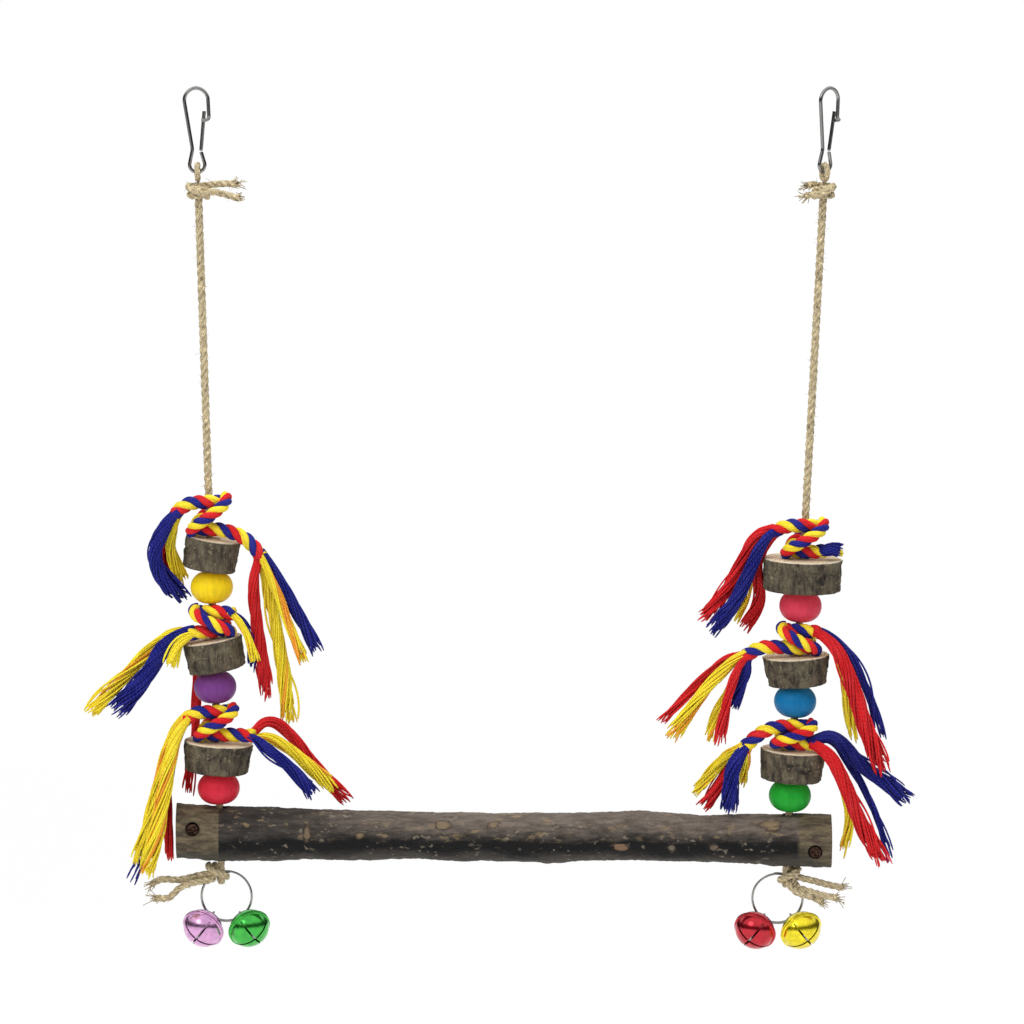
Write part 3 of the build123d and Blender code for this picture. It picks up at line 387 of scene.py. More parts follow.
class SwingSettings(bpy.types.PropertyGroup):
    """Sizes and colours of the swing that a user may change."""

    rope_diameter: bpy.props.FloatProperty(
        name="Rope", description="Diameter of the jute rope", default=0.0036, unit="LENGTH"
    )
    knot_diameter: bpy.props.FloatProperty(
        name="Knot cord", description="Diameter of the jute where it is pulled tight",
        default=0.0032, unit="LENGTH",
    )
    rope_lay: bpy.props.FloatProperty(
        name="Rope lay", description="Length of one twist of the jute", default=0.0115, unit="LENGTH"
    )
    cotton_diameter: bpy.props.FloatProperty(
        name="Cotton", description="Diameter of the cotton rope", default=0.0065, unit="LENGTH"
    )
    cotton_lay: bpy.props.FloatProperty(
        name="Cotton lay", description="Length of one twist of the cotton", default=0.0135, unit="LENGTH"
    )
    yarn_diameter: bpy.props.FloatProperty(
        name="Yarn", description="Diameter of a yarn in a fringed ply", default=0.00076, unit="LENGTH"
    )
    bark_relief: bpy.props.FloatProperty(
        name="Bark relief", description="Depth of the bark's furrows", default=0.0004, unit="LENGTH"
    )
    jute_colour: bpy.props.FloatVectorProperty(
        name="Jute", description="Colour of the jute", default=(0.55, 0.455, 0.285), subtype="COLOR"
    )
    blue_colour: bpy.props.FloatVectorProperty(
        name="Blue cotton", description="Colour of the blue plies",
        default=(0.006, 0.010, 0.255), subtype="COLOR",
    )
    yellow_colour: bpy.props.FloatVectorProperty(
        name="Yellow cotton", description="Colour of the yellow plies",
        default=(1.0, 0.82, 0.035), subtype="COLOR",
    )
    red_colour: bpy.props.FloatVectorProperty(
        name="Red cotton", description="Colour of the red plies",
        default=(0.70, 0.010, 0.016), subtype="COLOR",
    )
    bark_colour: bpy.props.FloatVectorProperty(
        name="Bark", description="Colour of the bark", default=(0.030, 0.026, 0.023), subtype="COLOR"
    )
    sawn_colour: bpy.props.FloatVectorProperty(
        name="Sawn wood", description="Colour of the sawn faces",
        default=(0.74, 0.60, 0.42), subtype="COLOR",
    )


def settings():
    """The scene's settings of the swing."""
    return bpy.context.scene.swing_settings


class Wire:
    """A socket of a material that is added, subtracted and multiplied like a number."""

    def __init__(self, tree, socket):
        self.tree, self.socket = tree, socket

    def node(self, kind, *sockets, out=0, **options):
        """A node of that kind: its options are set first, then the values or links of its sockets."""
        made = self.tree.nodes.new(kind)
        for option, value in options.items():
            setattr(made, option, value)
        for place, value in sockets:
            socket = made.inputs[place]
            if isinstance(value, Wire):
                self.tree.links.new(value.socket, socket)
            else:
                socket.default_value = value
        return Wire(self.tree, made.outputs[out])

    def maths(self, operation, *values):
        """A Math node on the given values."""
        return self.node("ShaderNodeMath", *enumerate(values), operation=operation)

    def __add__(self, other):
        return self.maths("ADD", self, other)

    def __sub__(self, other):
        return self.maths("SUBTRACT", self, other)

    def __rsub__(self, other):
        return self.maths("SUBTRACT", other, self)

    def __mul__(self, other):
        return self.maths("MULTIPLY", self, other)

    __radd__, __rmul__ = __add__, __mul__

    def sine(self):
        """Sine of this value."""
        return self.maths("SINE", self)

    def between(self, low, high):
        """0 up to low and 1 from high, with a smooth step between."""
        ends = (0, self), (1, low), (2, high)
        return self.node("ShaderNodeMapRange", *ends, interpolation_type="SMOOTHSTEP", clamp=True)

    def mix(self, first, second):
        """The first colour where this value is 0 and the second where it is 1."""
        return self.node("ShaderNodeMix", (0, self), (6, first), (7, second), out=2, data_type="RGBA")

    def lightened(self, share):
        """This colour with a share of white."""
        return self.node("ShaderNodeMix", (0, share), (6, self), (7, WHITE), out=2, data_type="RGBA")

    def vector(self, operation, other, out=0):
        """A Vector Math node on this vector and another: out 0 is a vector and 1 a value."""
        return self.node("ShaderNodeVectorMath", (0, self), (1, other), out=out, operation=operation)

    def stretched(self, x, y, z):
        """This vector times a scale along each axis."""
        return self.vector("MULTIPLY", (x, y, z))

    def length(self):
        """Length of this vector."""
        return self.node("ShaderNodeVectorMath", (0, self), out=1, operation="LENGTH")

    def noise(self, scale, detail=3.0, rough=0.55):
        """Cloudy noise from 0 to 1 at this vector, at one scale or at a scale along each axis."""
        if isinstance(scale, tuple):
            return self.stretched(*scale).noise(1, detail, rough)
        return self.node("ShaderNodeTexNoise", (0, self), (2, scale), (3, detail), (4, rough))

    def cracks(self, x, y, z):
        """Distance to the nearest edge between scattered cells, at a scale along each axis."""
        sockets = (0, self.stretched(x, y, z)), (2, 1)
        return self.node("ShaderNodeTexVoronoi", *sockets, feature="DISTANCE_TO_EDGE")


class Finish:
    """A material with one Principled shader."""

    def __init__(self, name, **plain):
        self.material = bpy.data.materials.new(name)
        self.material.use_nodes = True
        self.tree = self.material.node_tree
        self.shader = self.tree.nodes["Principled BSDF"]
        self.start = Wire(self.tree, None)
        for place, value in plain.items():
            self.shader.inputs[place.replace("_", " ")].default_value = value

    def place(self):
        """Object coordinates, in metres."""
        return self.start.node("ShaderNodeTexCoord", out=3)

    def uv(self):
        """The piece's own map: along in millimetres and round from 0 to 1."""
        return self.start.node("ShaderNodeUVMap", uv_map="UVMap")

    def split(self, vector):
        """The three parts of a vector."""
        made = self.start.node("ShaderNodeSeparateXYZ", (0, vector)).socket.node
        return [Wire(self.tree, socket) for socket in made.outputs]

    def attribute(self, name, out=2):
        """An attribute of the mesh: out 0 is its colour and 2 its value."""
        return self.start.node("ShaderNodeAttribute", out=out, attribute_name=name)

    def feed(self, place, value):
        """Links a value to a socket of the shader."""
        self.tree.links.new(value.socket, self.shader.inputs[place])

    def bump(self, height, depth, strength):
        """Raises the surface by height times depth, in metres, at a strength up to 1."""
        sockets = ("Strength", strength), ("Distance", depth), ("Height", height)
        self.feed("Normal", self.start.node("ShaderNodeBump", *sockets))


def shade(colour, factor):
    """A colour with alpha, lightened or darkened."""
    return (*[min(1.0, channel * factor) for channel in colour], 1.0)


def nickel_finish():
    """Nickel plate: mirror-like with faint clouds of wear."""
    finish = Finish("bright_nickel", Metallic=1.0)
    cloud = finish.place().noise(900, 4)
    finish.feed("Base Color", cloud.mix(*NICKEL))
    finish.feed("Roughness", cloud * 0.14 + 0.12)
    finish.bump(finish.place().noise(2500), 0.00003, 0.3)
    return finish.material


def steel_finish():
    """Dull screw steel, brown with rust."""
    finish = Finish("screw_zinc", Metallic=1.0)
    rust = finish.place().noise(1300, 4)
    finish.feed("Base Color", rust.between(0.4, 0.68).mix(*RUSTY_STEEL))
    finish.feed("Roughness", rust * 0.3 + 0.35)
    finish.bump(rust, 0.0004, 0.8)
    return finish.material


def jute_finish():
    """Jute: tan fibres along each strand, with darker flecks."""
    tan = settings().jute_colour
    finish = Finish("jute_fibre", Specular_IOR_Level=0.15)
    fibre = finish.uv().noise((0.35, 26, 1), 4, 0.65)
    fleck = finish.place().noise(520)
    base = fibre.between(0.3, 0.7).mix(shade(tan, 0.5), shade(tan, 1.5))
    base = fleck.between(0.54, 0.72).mix(base, shade(tan, 0.38))
    finish.feed("Base Color", fleck.between(0.42, 0.3).mix(base, shade(tan, 1.7)))
    finish.feed("Roughness", fibre * 0.2 + 0.75)
    finish.bump(fibre, 0.0003, 1.0)
    return finish.material


def cotton_finish(name, pitch, count):
    """Dyed cotton: fine yarns twisted round each strand, uneven in dye, darker in the grooves between yarns
    as painted shade, with a soft sheen.

    pitch is how many yarns pass in a millimetre along, and count how many lie round the strand.
    """
    finish = Finish(name, Sheen_Weight=0.04, Sheen_Roughness=0.5, Specular_IOR_Level=0.08)
    along, around, _ = finish.split(finish.uv())
    dye = finish.attribute("dye", out=0)
    twist = ((along * pitch + around * count) * (2 * math.pi)).sine() * 0.5 + 0.5
    fuzz = finish.uv().noise((1.2, 14, 1), 3, 0.6)
    patch = finish.place().noise(140, 2)
    # The twist stripes darken the grooves between yarns as painted shade; fuzz and patch make the dye uneven
    depth = twist * 0.22 + fuzz * 0.45 + patch * 0.4
    dark, light = dye.stretched(0.82, 0.72, 0.60), dye.lightened(0.03)
    finish.feed("Base Color", depth.between(0.3, 0.8).mix(dark, light))
    finish.feed("Roughness", fuzz * 0.15 + 0.8)
    finish.bump(twist * 0.6 + fuzz * 0.5, 0.0002, 0.6)
    return finish.material


def perch_finish():
    """Bark: flecked and scarred, with worn tan ends; a lighter taupe top as painted top light, a nearly black
    band below its middle as painted shade, a lighter underside as painted floor light, and holes and recesses
    darkened as painted shade.
    """
    bark = settings().bark_colour
    finish = Finish("perch_bark", Specular_IOR_Level=0.2)
    place = finish.place()
    x, y, _ = finish.split(place)
    grain = place.noise((110, 460, 460), 6, 0.65)
    bloom = place.noise((36, 90, 90), 4, 0.6)
    blotch = place.noise((90, 210, 210), 4, 0.6)
    mottle = place.noise((150, 320, 320), 4, 0.6)
    fleck = place.noise((300, 420, 420), 2, 0.5)
    strewn = place.noise(75, 2)
    crack = place.cracks(150, 330, 330)
    side = finish.attribute("upward") + (bloom - 0.5) * 0.9 + (grain - 0.5) * 0.35
    colour = grain.between(0.32, 0.72).mix(shade(bark, 0.55), shade(bark, 1.9))
    # Painted top light: the bark that faces up, from left of the middle to the right end, turns a lighter
    # taupe
    above = side.between(-0.05, 0.75) * x.between(-0.125, -0.03)
    colour = above.mix(colour, grain.between(0.3, 0.7).mix(*LIT_TOP_BARK))
    # Painted floor light: the bark that faces down turns a lighter grey
    colour = (side.between(-0.55, -0.95) * 0.8).mix(colour, grain.mix(*FLOOR_LIT_UNDERSIDE))
    # Painted shade: a nearly black band where the bark turns from facing up to facing down
    painted_shade_band = side.between(0.2, -0.15) * side.between(-0.75, -0.4)
    colour = (painted_shade_band * 0.98).mix(colour, grain.mix(*SHADE_BAND_BARK))
    patchy = mottle.between(0.56, 0.66) * side.between(-0.1, 0.25) * (grain.between(0.3, 0.6) * 0.6 + 0.15)
    colour = patchy.mix(colour, TAN_PATCH)
    colour = (fleck.between(0.61, 0.69) * strewn.between(0.42, 0.56) * 0.7).mix(colour, PALE_FLECK)
    ends = grain.between(0.3, 0.72).mix(*WORN_END)
    ends = blotch.between(0.55, 0.7).mix(ends, END_BLOTCH)
    # Painted shade: the worn ends darker where they face down
    ends = (side.between(-0.5, -0.85) * 0.7).mix(ends, END_UNDERSIDE_SHADE)
    worn = x.between(*WORN_LEFT) + x.between(*WORN_RIGHT) * bloom.between(0.2, 0.45)
    colour = (worn * 0.95).mix(colour, ends)
    front = y.between(-0.004, -0.008)
    for spot_x, spot_z, long, high, tint in BARK_SCARS:
        away = place.vector("SUBTRACT", (spot_x, 0, spot_z)).stretched(1 / long, 0, 1 / high).length()
        away = away + (grain - 0.5) * 1.9 + (blotch - 0.5) * 2.6
        colour = (away.between(1.4, 1.1) * front * 0.5).mix(colour, SCAR_RIM)
        colour = (away.between(1.1, 0.5) * front * 0.75).mix(colour, tint)
    # Painted shade: the rope holes and screw recesses darkened inside
    finish.feed("Base Color", finish.attribute("recess_shade").mix(colour, HOLE_SHADE))
    finish.feed("Roughness", grain * 0.25 + 0.58)
    finish.bump(grain * 0.8 + crack.between(0.0, 0.1) * 0.25 + blotch * 0.7, 0.0008, 1.0)
    return finish.material


def slice_finish():
    """A slice of branch: speckled grey bark round a sawn face with growth rings and a pale rim."""
    bark, sawn = settings().bark_colour, settings().sawn_colour
    finish = Finish("slice_wood", Specular_IOR_Level=0.2)
    place = finish.place()
    flat, reach = finish.attribute("sawn"), finish.attribute("reach")
    grain = place.noise((420, 420, 130), 6, 0.65)
    speck = place.noise(520)
    crack = place.cracks(330, 330, 120)
    lichen = place.noise(150, 4)
    skin = grain.between(0.3, 0.7).mix(shade(bark, 0.8), SLICE_BARK)
    skin = (lichen.between(0.45, 0.7) * 0.7).mix(skin, LICHEN)
    skin = lichen.between(0.42, 0.3).mix(skin, shade(bark, 0.7))
    skin = (speck.between(0.6, 0.7) * 0.8).mix(skin, PALE_SPECK)
    rings = (reach * 62.0 + place.noise(90, 2) * 9.0).sine() * 0.5 + 0.5
    wood = rings.mix(shade(sawn, 0.82), shade(sawn, 1.08))
    wood = (place.noise(260, 4).between(0.55, 0.75) * 0.4).mix(wood, shade(sawn, 0.6))
    wood = reach.between(0.90, 0.97).mix(wood, PALE_RIM)
    finish.feed("Base Color", flat.mix(skin, wood))
    finish.feed("Roughness", grain * 0.2 + 0.7)
    finish.bump(grain * 0.6 + crack.between(0.0, 0.1) * 0.7 + speck * 0.3, 0.0005, 0.8)
    return finish.material


def bead_finish(name, colour):
    """Dyed wood under a satin coat: the grain shows as darker lines in the dye."""
    finish = Finish(name, Coat_Roughness=0.3, Coat_Weight=0.05, Specular_IOR_Level=0.14)
    place = finish.place()
    grain = place.noise((700, 700, 70), 5, 0.6)
    cloud = place.noise(120)
    dyed = grain.between(0.3, 0.7).mix(shade(colour, 0.86), shade(colour, 1.06))
    finish.feed("Base Color", (cloud.between(0.4, 0.75) * 0.3).mix(dyed, shade(colour, 1.3)))
    finish.feed("Roughness", grain * 0.15 + 0.34)
    finish.bump(grain, 0.0001, 0.35)
    return finish.material


def bell_finish(name, colour):
    """Coloured lacquer on polished metal."""
    finish = Finish(name, Metallic=0.9, Coat_Weight=0.5, Coat_Roughness=0.06)
    cloud = finish.place().noise(420, 4)
    finish.feed("Base Color", cloud.between(0.3, 0.7).mix(shade(colour, 0.8), shade(colour, 1.1)))
    finish.feed("Roughness", cloud * 0.12 + 0.13)
    finish.bump(finish.place().noise(300), 0.00012, 0.35)
    return finish.material


def lattice_noise(u, v, across, along, seed):
    """Smooth noise from -1 to 1: random heights on a lattice, eased between its points, closed round u."""
    heights = np.random.default_rng(seed).uniform(-1, 1, (across, along + 2))
    a, b = (u % 1.0) * across, np.clip(v, 0, 1) * along
    i, j = np.floor(a).astype(int), np.floor(b).astype(int)
    s, t = a - i, b - j
    s, t = s * s * (3 - 2 * s), t * t * (3 - 2 * t)
    low = heights[i % across, j] * (1 - s) + heights[(i + 1) % across, j] * s
    high = heights[i % across, j + 1] * (1 - s) + heights[(i + 1) % across, j + 1] * s
    return low * (1 - t) + high * t


def bark_noise(u, v, across, along, seed):
    """Three layers of lattice noise, each twice as fine and half as strong."""
    return sum(lattice_noise(u, v, across * 2**k, along * 2**k, seed + k) / 2**k for k in range(3))


def add_piece(name, points, faces, uv=None, values=None, colours=None):
    """A mesh object at the origin from points and faces, with a map and attributes on its points."""
    mesh = bpy.data.meshes.new(name)
    mesh.from_pydata(points.reshape(-1, 3).tolist(), [], faces)
    mesh.polygons.foreach_set("use_smooth", np.ones(len(mesh.polygons), bool))
    if uv is not None:
        corner = np.zeros(len(mesh.loops), np.int32)
        mesh.loops.foreach_get("vertex_index", corner)
        layer = mesh.uv_layers.new(name="UVMap")
        layer.data.foreach_set("uv", uv.reshape(-1, 2)[corner].astype(np.float32).ravel())
    for kind, entry, table in (("FLOAT", "value", values), ("FLOAT_COLOR", "color", colours)):
        for label, value in (table or {}).items():
            data = mesh.attributes.new(label, kind, "POINT").data
            data.foreach_set(entry, value.astype(np.float32).ravel())
    mesh.update()
    obj = bpy.data.objects.new(name, mesh)
    bpy.context.scene.collection.objects.link(obj)
    return obj


def dress(obj, material, body, node=None):
    """Gives a finished piece its material and its body, and hides the CAD node that it stands for."""
    obj.data.materials.append(material)
    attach(obj, body)
    if node:
        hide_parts(node)


def paint(nodes, material):
    """One material on several CAD nodes."""
    for node in nodes:
        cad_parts[node].data.materials.clear()
        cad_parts[node].data.materials.append(material)


def join(name, objects):
    """Several mesh objects as one."""
    bpy.ops.object.select_all(action="DESELECT")
    for obj in objects:
        obj.select_set(True)
    bpy.context.view_layer.objects.active = objects[0]
    if len(objects) > 1:
        bpy.ops.object.join()
    objects[0].name = name
    return objects[0]


def grid_faces(rows, columns, first=0):
    """Quads between neighbouring rows of a grid whose columns close round."""
    row, column = np.meshgrid(np.arange(rows - 1), np.arange(columns), indexing="ij")
    this, after = row * columns, (column + 1) % columns
    corners = this + column, this + after, this + columns + after, this + columns + column
    return (np.stack([corner.ravel() for corner in corners], 1) + first).tolist()


def ring_faces(rows, columns):
    """Quads of a grid that closes both ways."""
    last, first = (rows - 1) * columns, np.arange(columns)
    after = (first + 1) % columns
    return grid_faces(rows, columns) + np.stack([last + first, last + after, after, first], 1).tolist()


def unit(vectors):
    """Vectors of length one."""
    return vectors / np.maximum(np.linalg.norm(vectors, axis=-1, keepdims=True), 1e-12)


def path_frames(paths):
    """Two normals along each path, square to it and carried on with no twist of their own."""
    tangent = unit(np.gradient(paths, axis=1))
    start = np.cross(tangent[:, 0], BACK)
    start = np.where(np.linalg.norm(start, axis=1, keepdims=True) < 0.1, np.array([[1.0, 0, 0]]), start)
    normal = np.zeros_like(paths)
    normal[:, 0] = unit(start)
    for step in range(1, paths.shape[1]):
        ahead = tangent[:, step]
        last = normal[:, step - 1]
        normal[:, step] = unit(last - ahead * np.sum(last * ahead, axis=1, keepdims=True))
    return normal, np.cross(tangent, normal)


def tubes(name, paths, radii, sides, colours=None):
    """Round tubes: at each point of a path a circle of its radius square to it, closed at both ends.

    paths is tube by point by three, and radii is tube by point.
    """
    count, points = paths.shape[:2]
    normal, across = path_frames(paths)
    angle = np.arange(sides) / sides * 2 * np.pi
    circle = normal[:, :, None] * np.cos(angle)[:, None] + across[:, :, None] * np.sin(angle)[:, None]
    surface = paths[:, :, None] + circle * radii[:, :, None, None]
    length = np.cumsum(np.linalg.norm(np.diff(paths, axis=1, prepend=paths[:, :1]), axis=2), axis=1) / MM
    length = length + np.arange(count)[:, None] * MAP_SHIFT
    uv = np.stack(np.broadcast_arrays(length[:, :, None], (angle / (2 * np.pi))[None, None]), -1)
    faces = []
    for tube in range(count):
        first = tube * points * sides
        faces += grid_faces(points, sides, first)
        faces.append(list(range(first + sides - 1, first - 1, -1)))
        faces.append(list(range(first + (points - 1) * sides, first + points * sides)))
    if colours is not None:
        colours = {"dye": np.broadcast_to(colours[:, None, None], (count, points, sides, 4))}
    return add_piece(name, surface, faces, uv, None, colours)


def distances(points):
    """Distance of each point from the first, along a line of points."""
    return np.concatenate([[0], np.cumsum(np.linalg.norm(np.diff(points, axis=0), axis=1))])


def path_length(points):
    """Length of a line of points."""
    return float(distances(points)[-1])


def even_path(points, step):
    """Points an even step apart along a line of points."""
    reach = distances(points)
    count = max(4, int(round(reach[-1] / step)) + 1)
    wanted = np.linspace(0, reach[-1], count)
    return np.stack([np.interp(wanted, reach, points[:, axis]) for axis in range(3)], 1)


def spline_path(points, step):
    """Even points along one smooth spline whose control points are the route's points."""
    curve = bpy.data.curves.new("route", "CURVE")
    curve.dimensions = "3D"
    spline = curve.splines.new("NURBS")
    spline.points.add(len(points) - 1)
    weighted = np.hstack([points, np.ones((len(points), 1))])
    spline.points.foreach_set("co", weighted.astype(np.float32).ravel())
    spline.order_u = 3
    spline.use_endpoint_u = True
    spline.resolution_u = 10
    obj = bpy.data.objects.new("route", curve)
    bpy.context.scene.collection.objects.link(obj)
    mesh = bpy.data.meshes.new_from_object(obj)
    line = np.zeros(len(mesh.vertices) * 3, np.float32)
    mesh.vertices.foreach_get("co", line)
    bpy.data.objects.remove(obj)
    bpy.data.curves.remove(curve)
    bpy.data.meshes.remove(mesh)
    return even_path(line.reshape(-1, 3).astype(float), step)


def twisted(path, diameter, lay, phase):
    """Centre lines and radii of the strands of a laid rope: each circles the path once in a lay."""
    normal, across = path_frames(path[None])
    turn = distances(path) / lay * 2 * np.pi + phase
    angle = (turn + np.arange(STRANDS)[:, None] * 2 * np.pi / STRANDS)[:, :, None]
    lines = path + (normal * np.cos(angle) + across * np.sin(angle)) * diameter * STRAND_REACH
    return lines, np.full(lines.shape[:2], diameter * STRAND_RADIUS)


def bar_seat(name):
    """The middle of the seat for the bar in one hook."""
    return np.array([SIDES[name] * HOOK_SPACING / 2, 0, 0]) * MM


def rope_ways(name):
    """The directions to the right of one rope and up it."""
    hole = np.array([SIDES[name] * HOLE_SPACING / 2 - PERCH_SHIFT, 0, -HANG_HEIGHT]) * MM
    up = unit(bar_seat(name) - hole)
    return np.cross(BACK, up), up


def on_line(name, x, y, z):
    """A point given in millimetres to the right of a rope's line, behind it and up it from the bar seat."""
    right, up = rope_ways(name)
    return bar_seat(name) + (right * x + BACK * y + up * z) * MM


def line_length(name):
    """Millimetres along a rope from its bar seat to the plain axis of the perch."""
    run = SIDES[name] * (HOOK_SPACING - HOLE_SPACING) / 2 + PERCH_SHIFT
    return math.hypot(HANG_HEIGHT, run)


def stack_heights(name):
    """Heights in millimetres along one rope of each slice's and tie's middle, from the perch up."""
    lift, radius = HOLE_FORM[name]
    height = -line_length(name) + lift * PERCH_DIAMETER + radius * PERCH_DIAMETER / 2 + SEAT_GAP
    cotton = settings().cotton_diameter / MM
    winding = settings().rope_diameter / MM / 2 + SOFT_GAP + cotton / 2
    heights = {}
    for level in LEVELS:
        _, _, thickness, lean = SLICES[f"{name}_{level}"]
        lean = math.radians(abs(lean))
        rise = TIE_RISES[f"{name}_{level}"]
        foot = height + BEAD_HEIGHT + SOFT_GAP + BEAD_END / 2 * math.tan(lean)
        top = foot + thickness / math.cos(lean)
        tie = top + SOFT_GAP + winding * math.tan(lean) + cotton / 2
        heights[f"{name}_{level}"] = ((foot + top) / 2, tie + rise / 2)
        height = tie + rise + cotton / 2 + SOFT_GAP
    return heights


def winding_route(centre, out, onward, axis, radius, rise, turns):
    """Route points round an axis, from out towards onward, that climb by rise with an easy start and end.

    They stand a little outside the radius, because the spline runs inside its points.
    """
    share = np.linspace(0, 1, round(ROUTE_POINTS * turns) + 1)[:, None]
    angle = share * turns * 2 * np.pi
    climb = rise * (share - np.sin(2 * np.pi * share) / (2 * np.pi))
    reach = radius / math.cos(math.pi / ROUTE_POINTS)
    return centre + (out * np.cos(angle) + onward * np.sin(angle)) * reach + axis * climb


def aslant_arc(centre, aside, up, reach, dive, climb):
    """A strand over a knot's front: an arc that climbs aslant and dives in at both ends.

    Its share runs in eighths of a turn from the front: it climbs as far as 1.3 and dives from 0.85 on.
    """
    share = np.linspace(-1.75, 1.75, 61)[:, None]
    angle = share * math.radians(45)
    inward = np.clip(np.abs(share) - 0.85, 0, 1) ** 1.3 * dive
    across = FRONT * np.cos(angle) + aside * np.sin(angle)
    return centre + across * (reach - inward) + up * np.clip(share, -1.3, 1.3) * climb


def loose_fibres(name, path, radius, count, reach):
    """Short thin fibres that stand off a rope at random."""
    at = rng.integers(2, len(path) - 2, count)
    tangent = unit(path[at + 1] - path[at - 1])
    aside = unit(np.cross(tangent, rng.normal(size=(count, 3))))
    along = np.linspace(0, 1, 5)[None, :, None]
    long = rng.uniform(0.4, 1.0, (count, 1, 1)) * reach
    lean = rng.uniform(-1.2, 1.2, (count, 1, 1))
    bend = rng.normal(size=(count, 1, 3)) * 0.25
    paths = (
        path[at][:, None]
        + aside[:, None] * (radius * 0.8 + long * along)
        + tangent[:, None] * long * along * lean
        + bend * long * along**2
    )
    return tubes(name, paths, np.full(paths.shape[:2], FIBRE_RADIUS), FIBRE_SIDES)


def frayed_end(path, diameter):
    """Fibres that spread from the last millimetres of a cord."""
    size = (FRAYED_FIBRES, 1, 3)
    tip, ahead = path[-1], unit(path[-1] - path[-4])
    spread = rng.normal(size=size) * 0.35
    along = np.linspace(0, 1, 6)[None, :, None]
    long = rng.uniform(1.2, 3.4, (FRAYED_FIBRES, 1, 1)) * MM
    start = tip + rng.normal(size=size) * diameter * 0.22 - ahead * 1.2 * MM
    paths = start + (ahead + spread) * long * along + spread * long * along**2 * 0.6
    return tubes("frayed", paths, np.full(paths.shape[:2], FRAYED_RADIUS), FIBRE_SIDES)


def jute_cord(name, path, diameter, tightness=TIGHT_LAY, phase=0.0):
    """A laid jute cord along a path, its lay shortened where it is pulled tight."""
    lines, radii = twisted(path, diameter, settings().rope_lay * tightness, phase)
    return tubes(name, lines, radii, JUTE_SIDES)


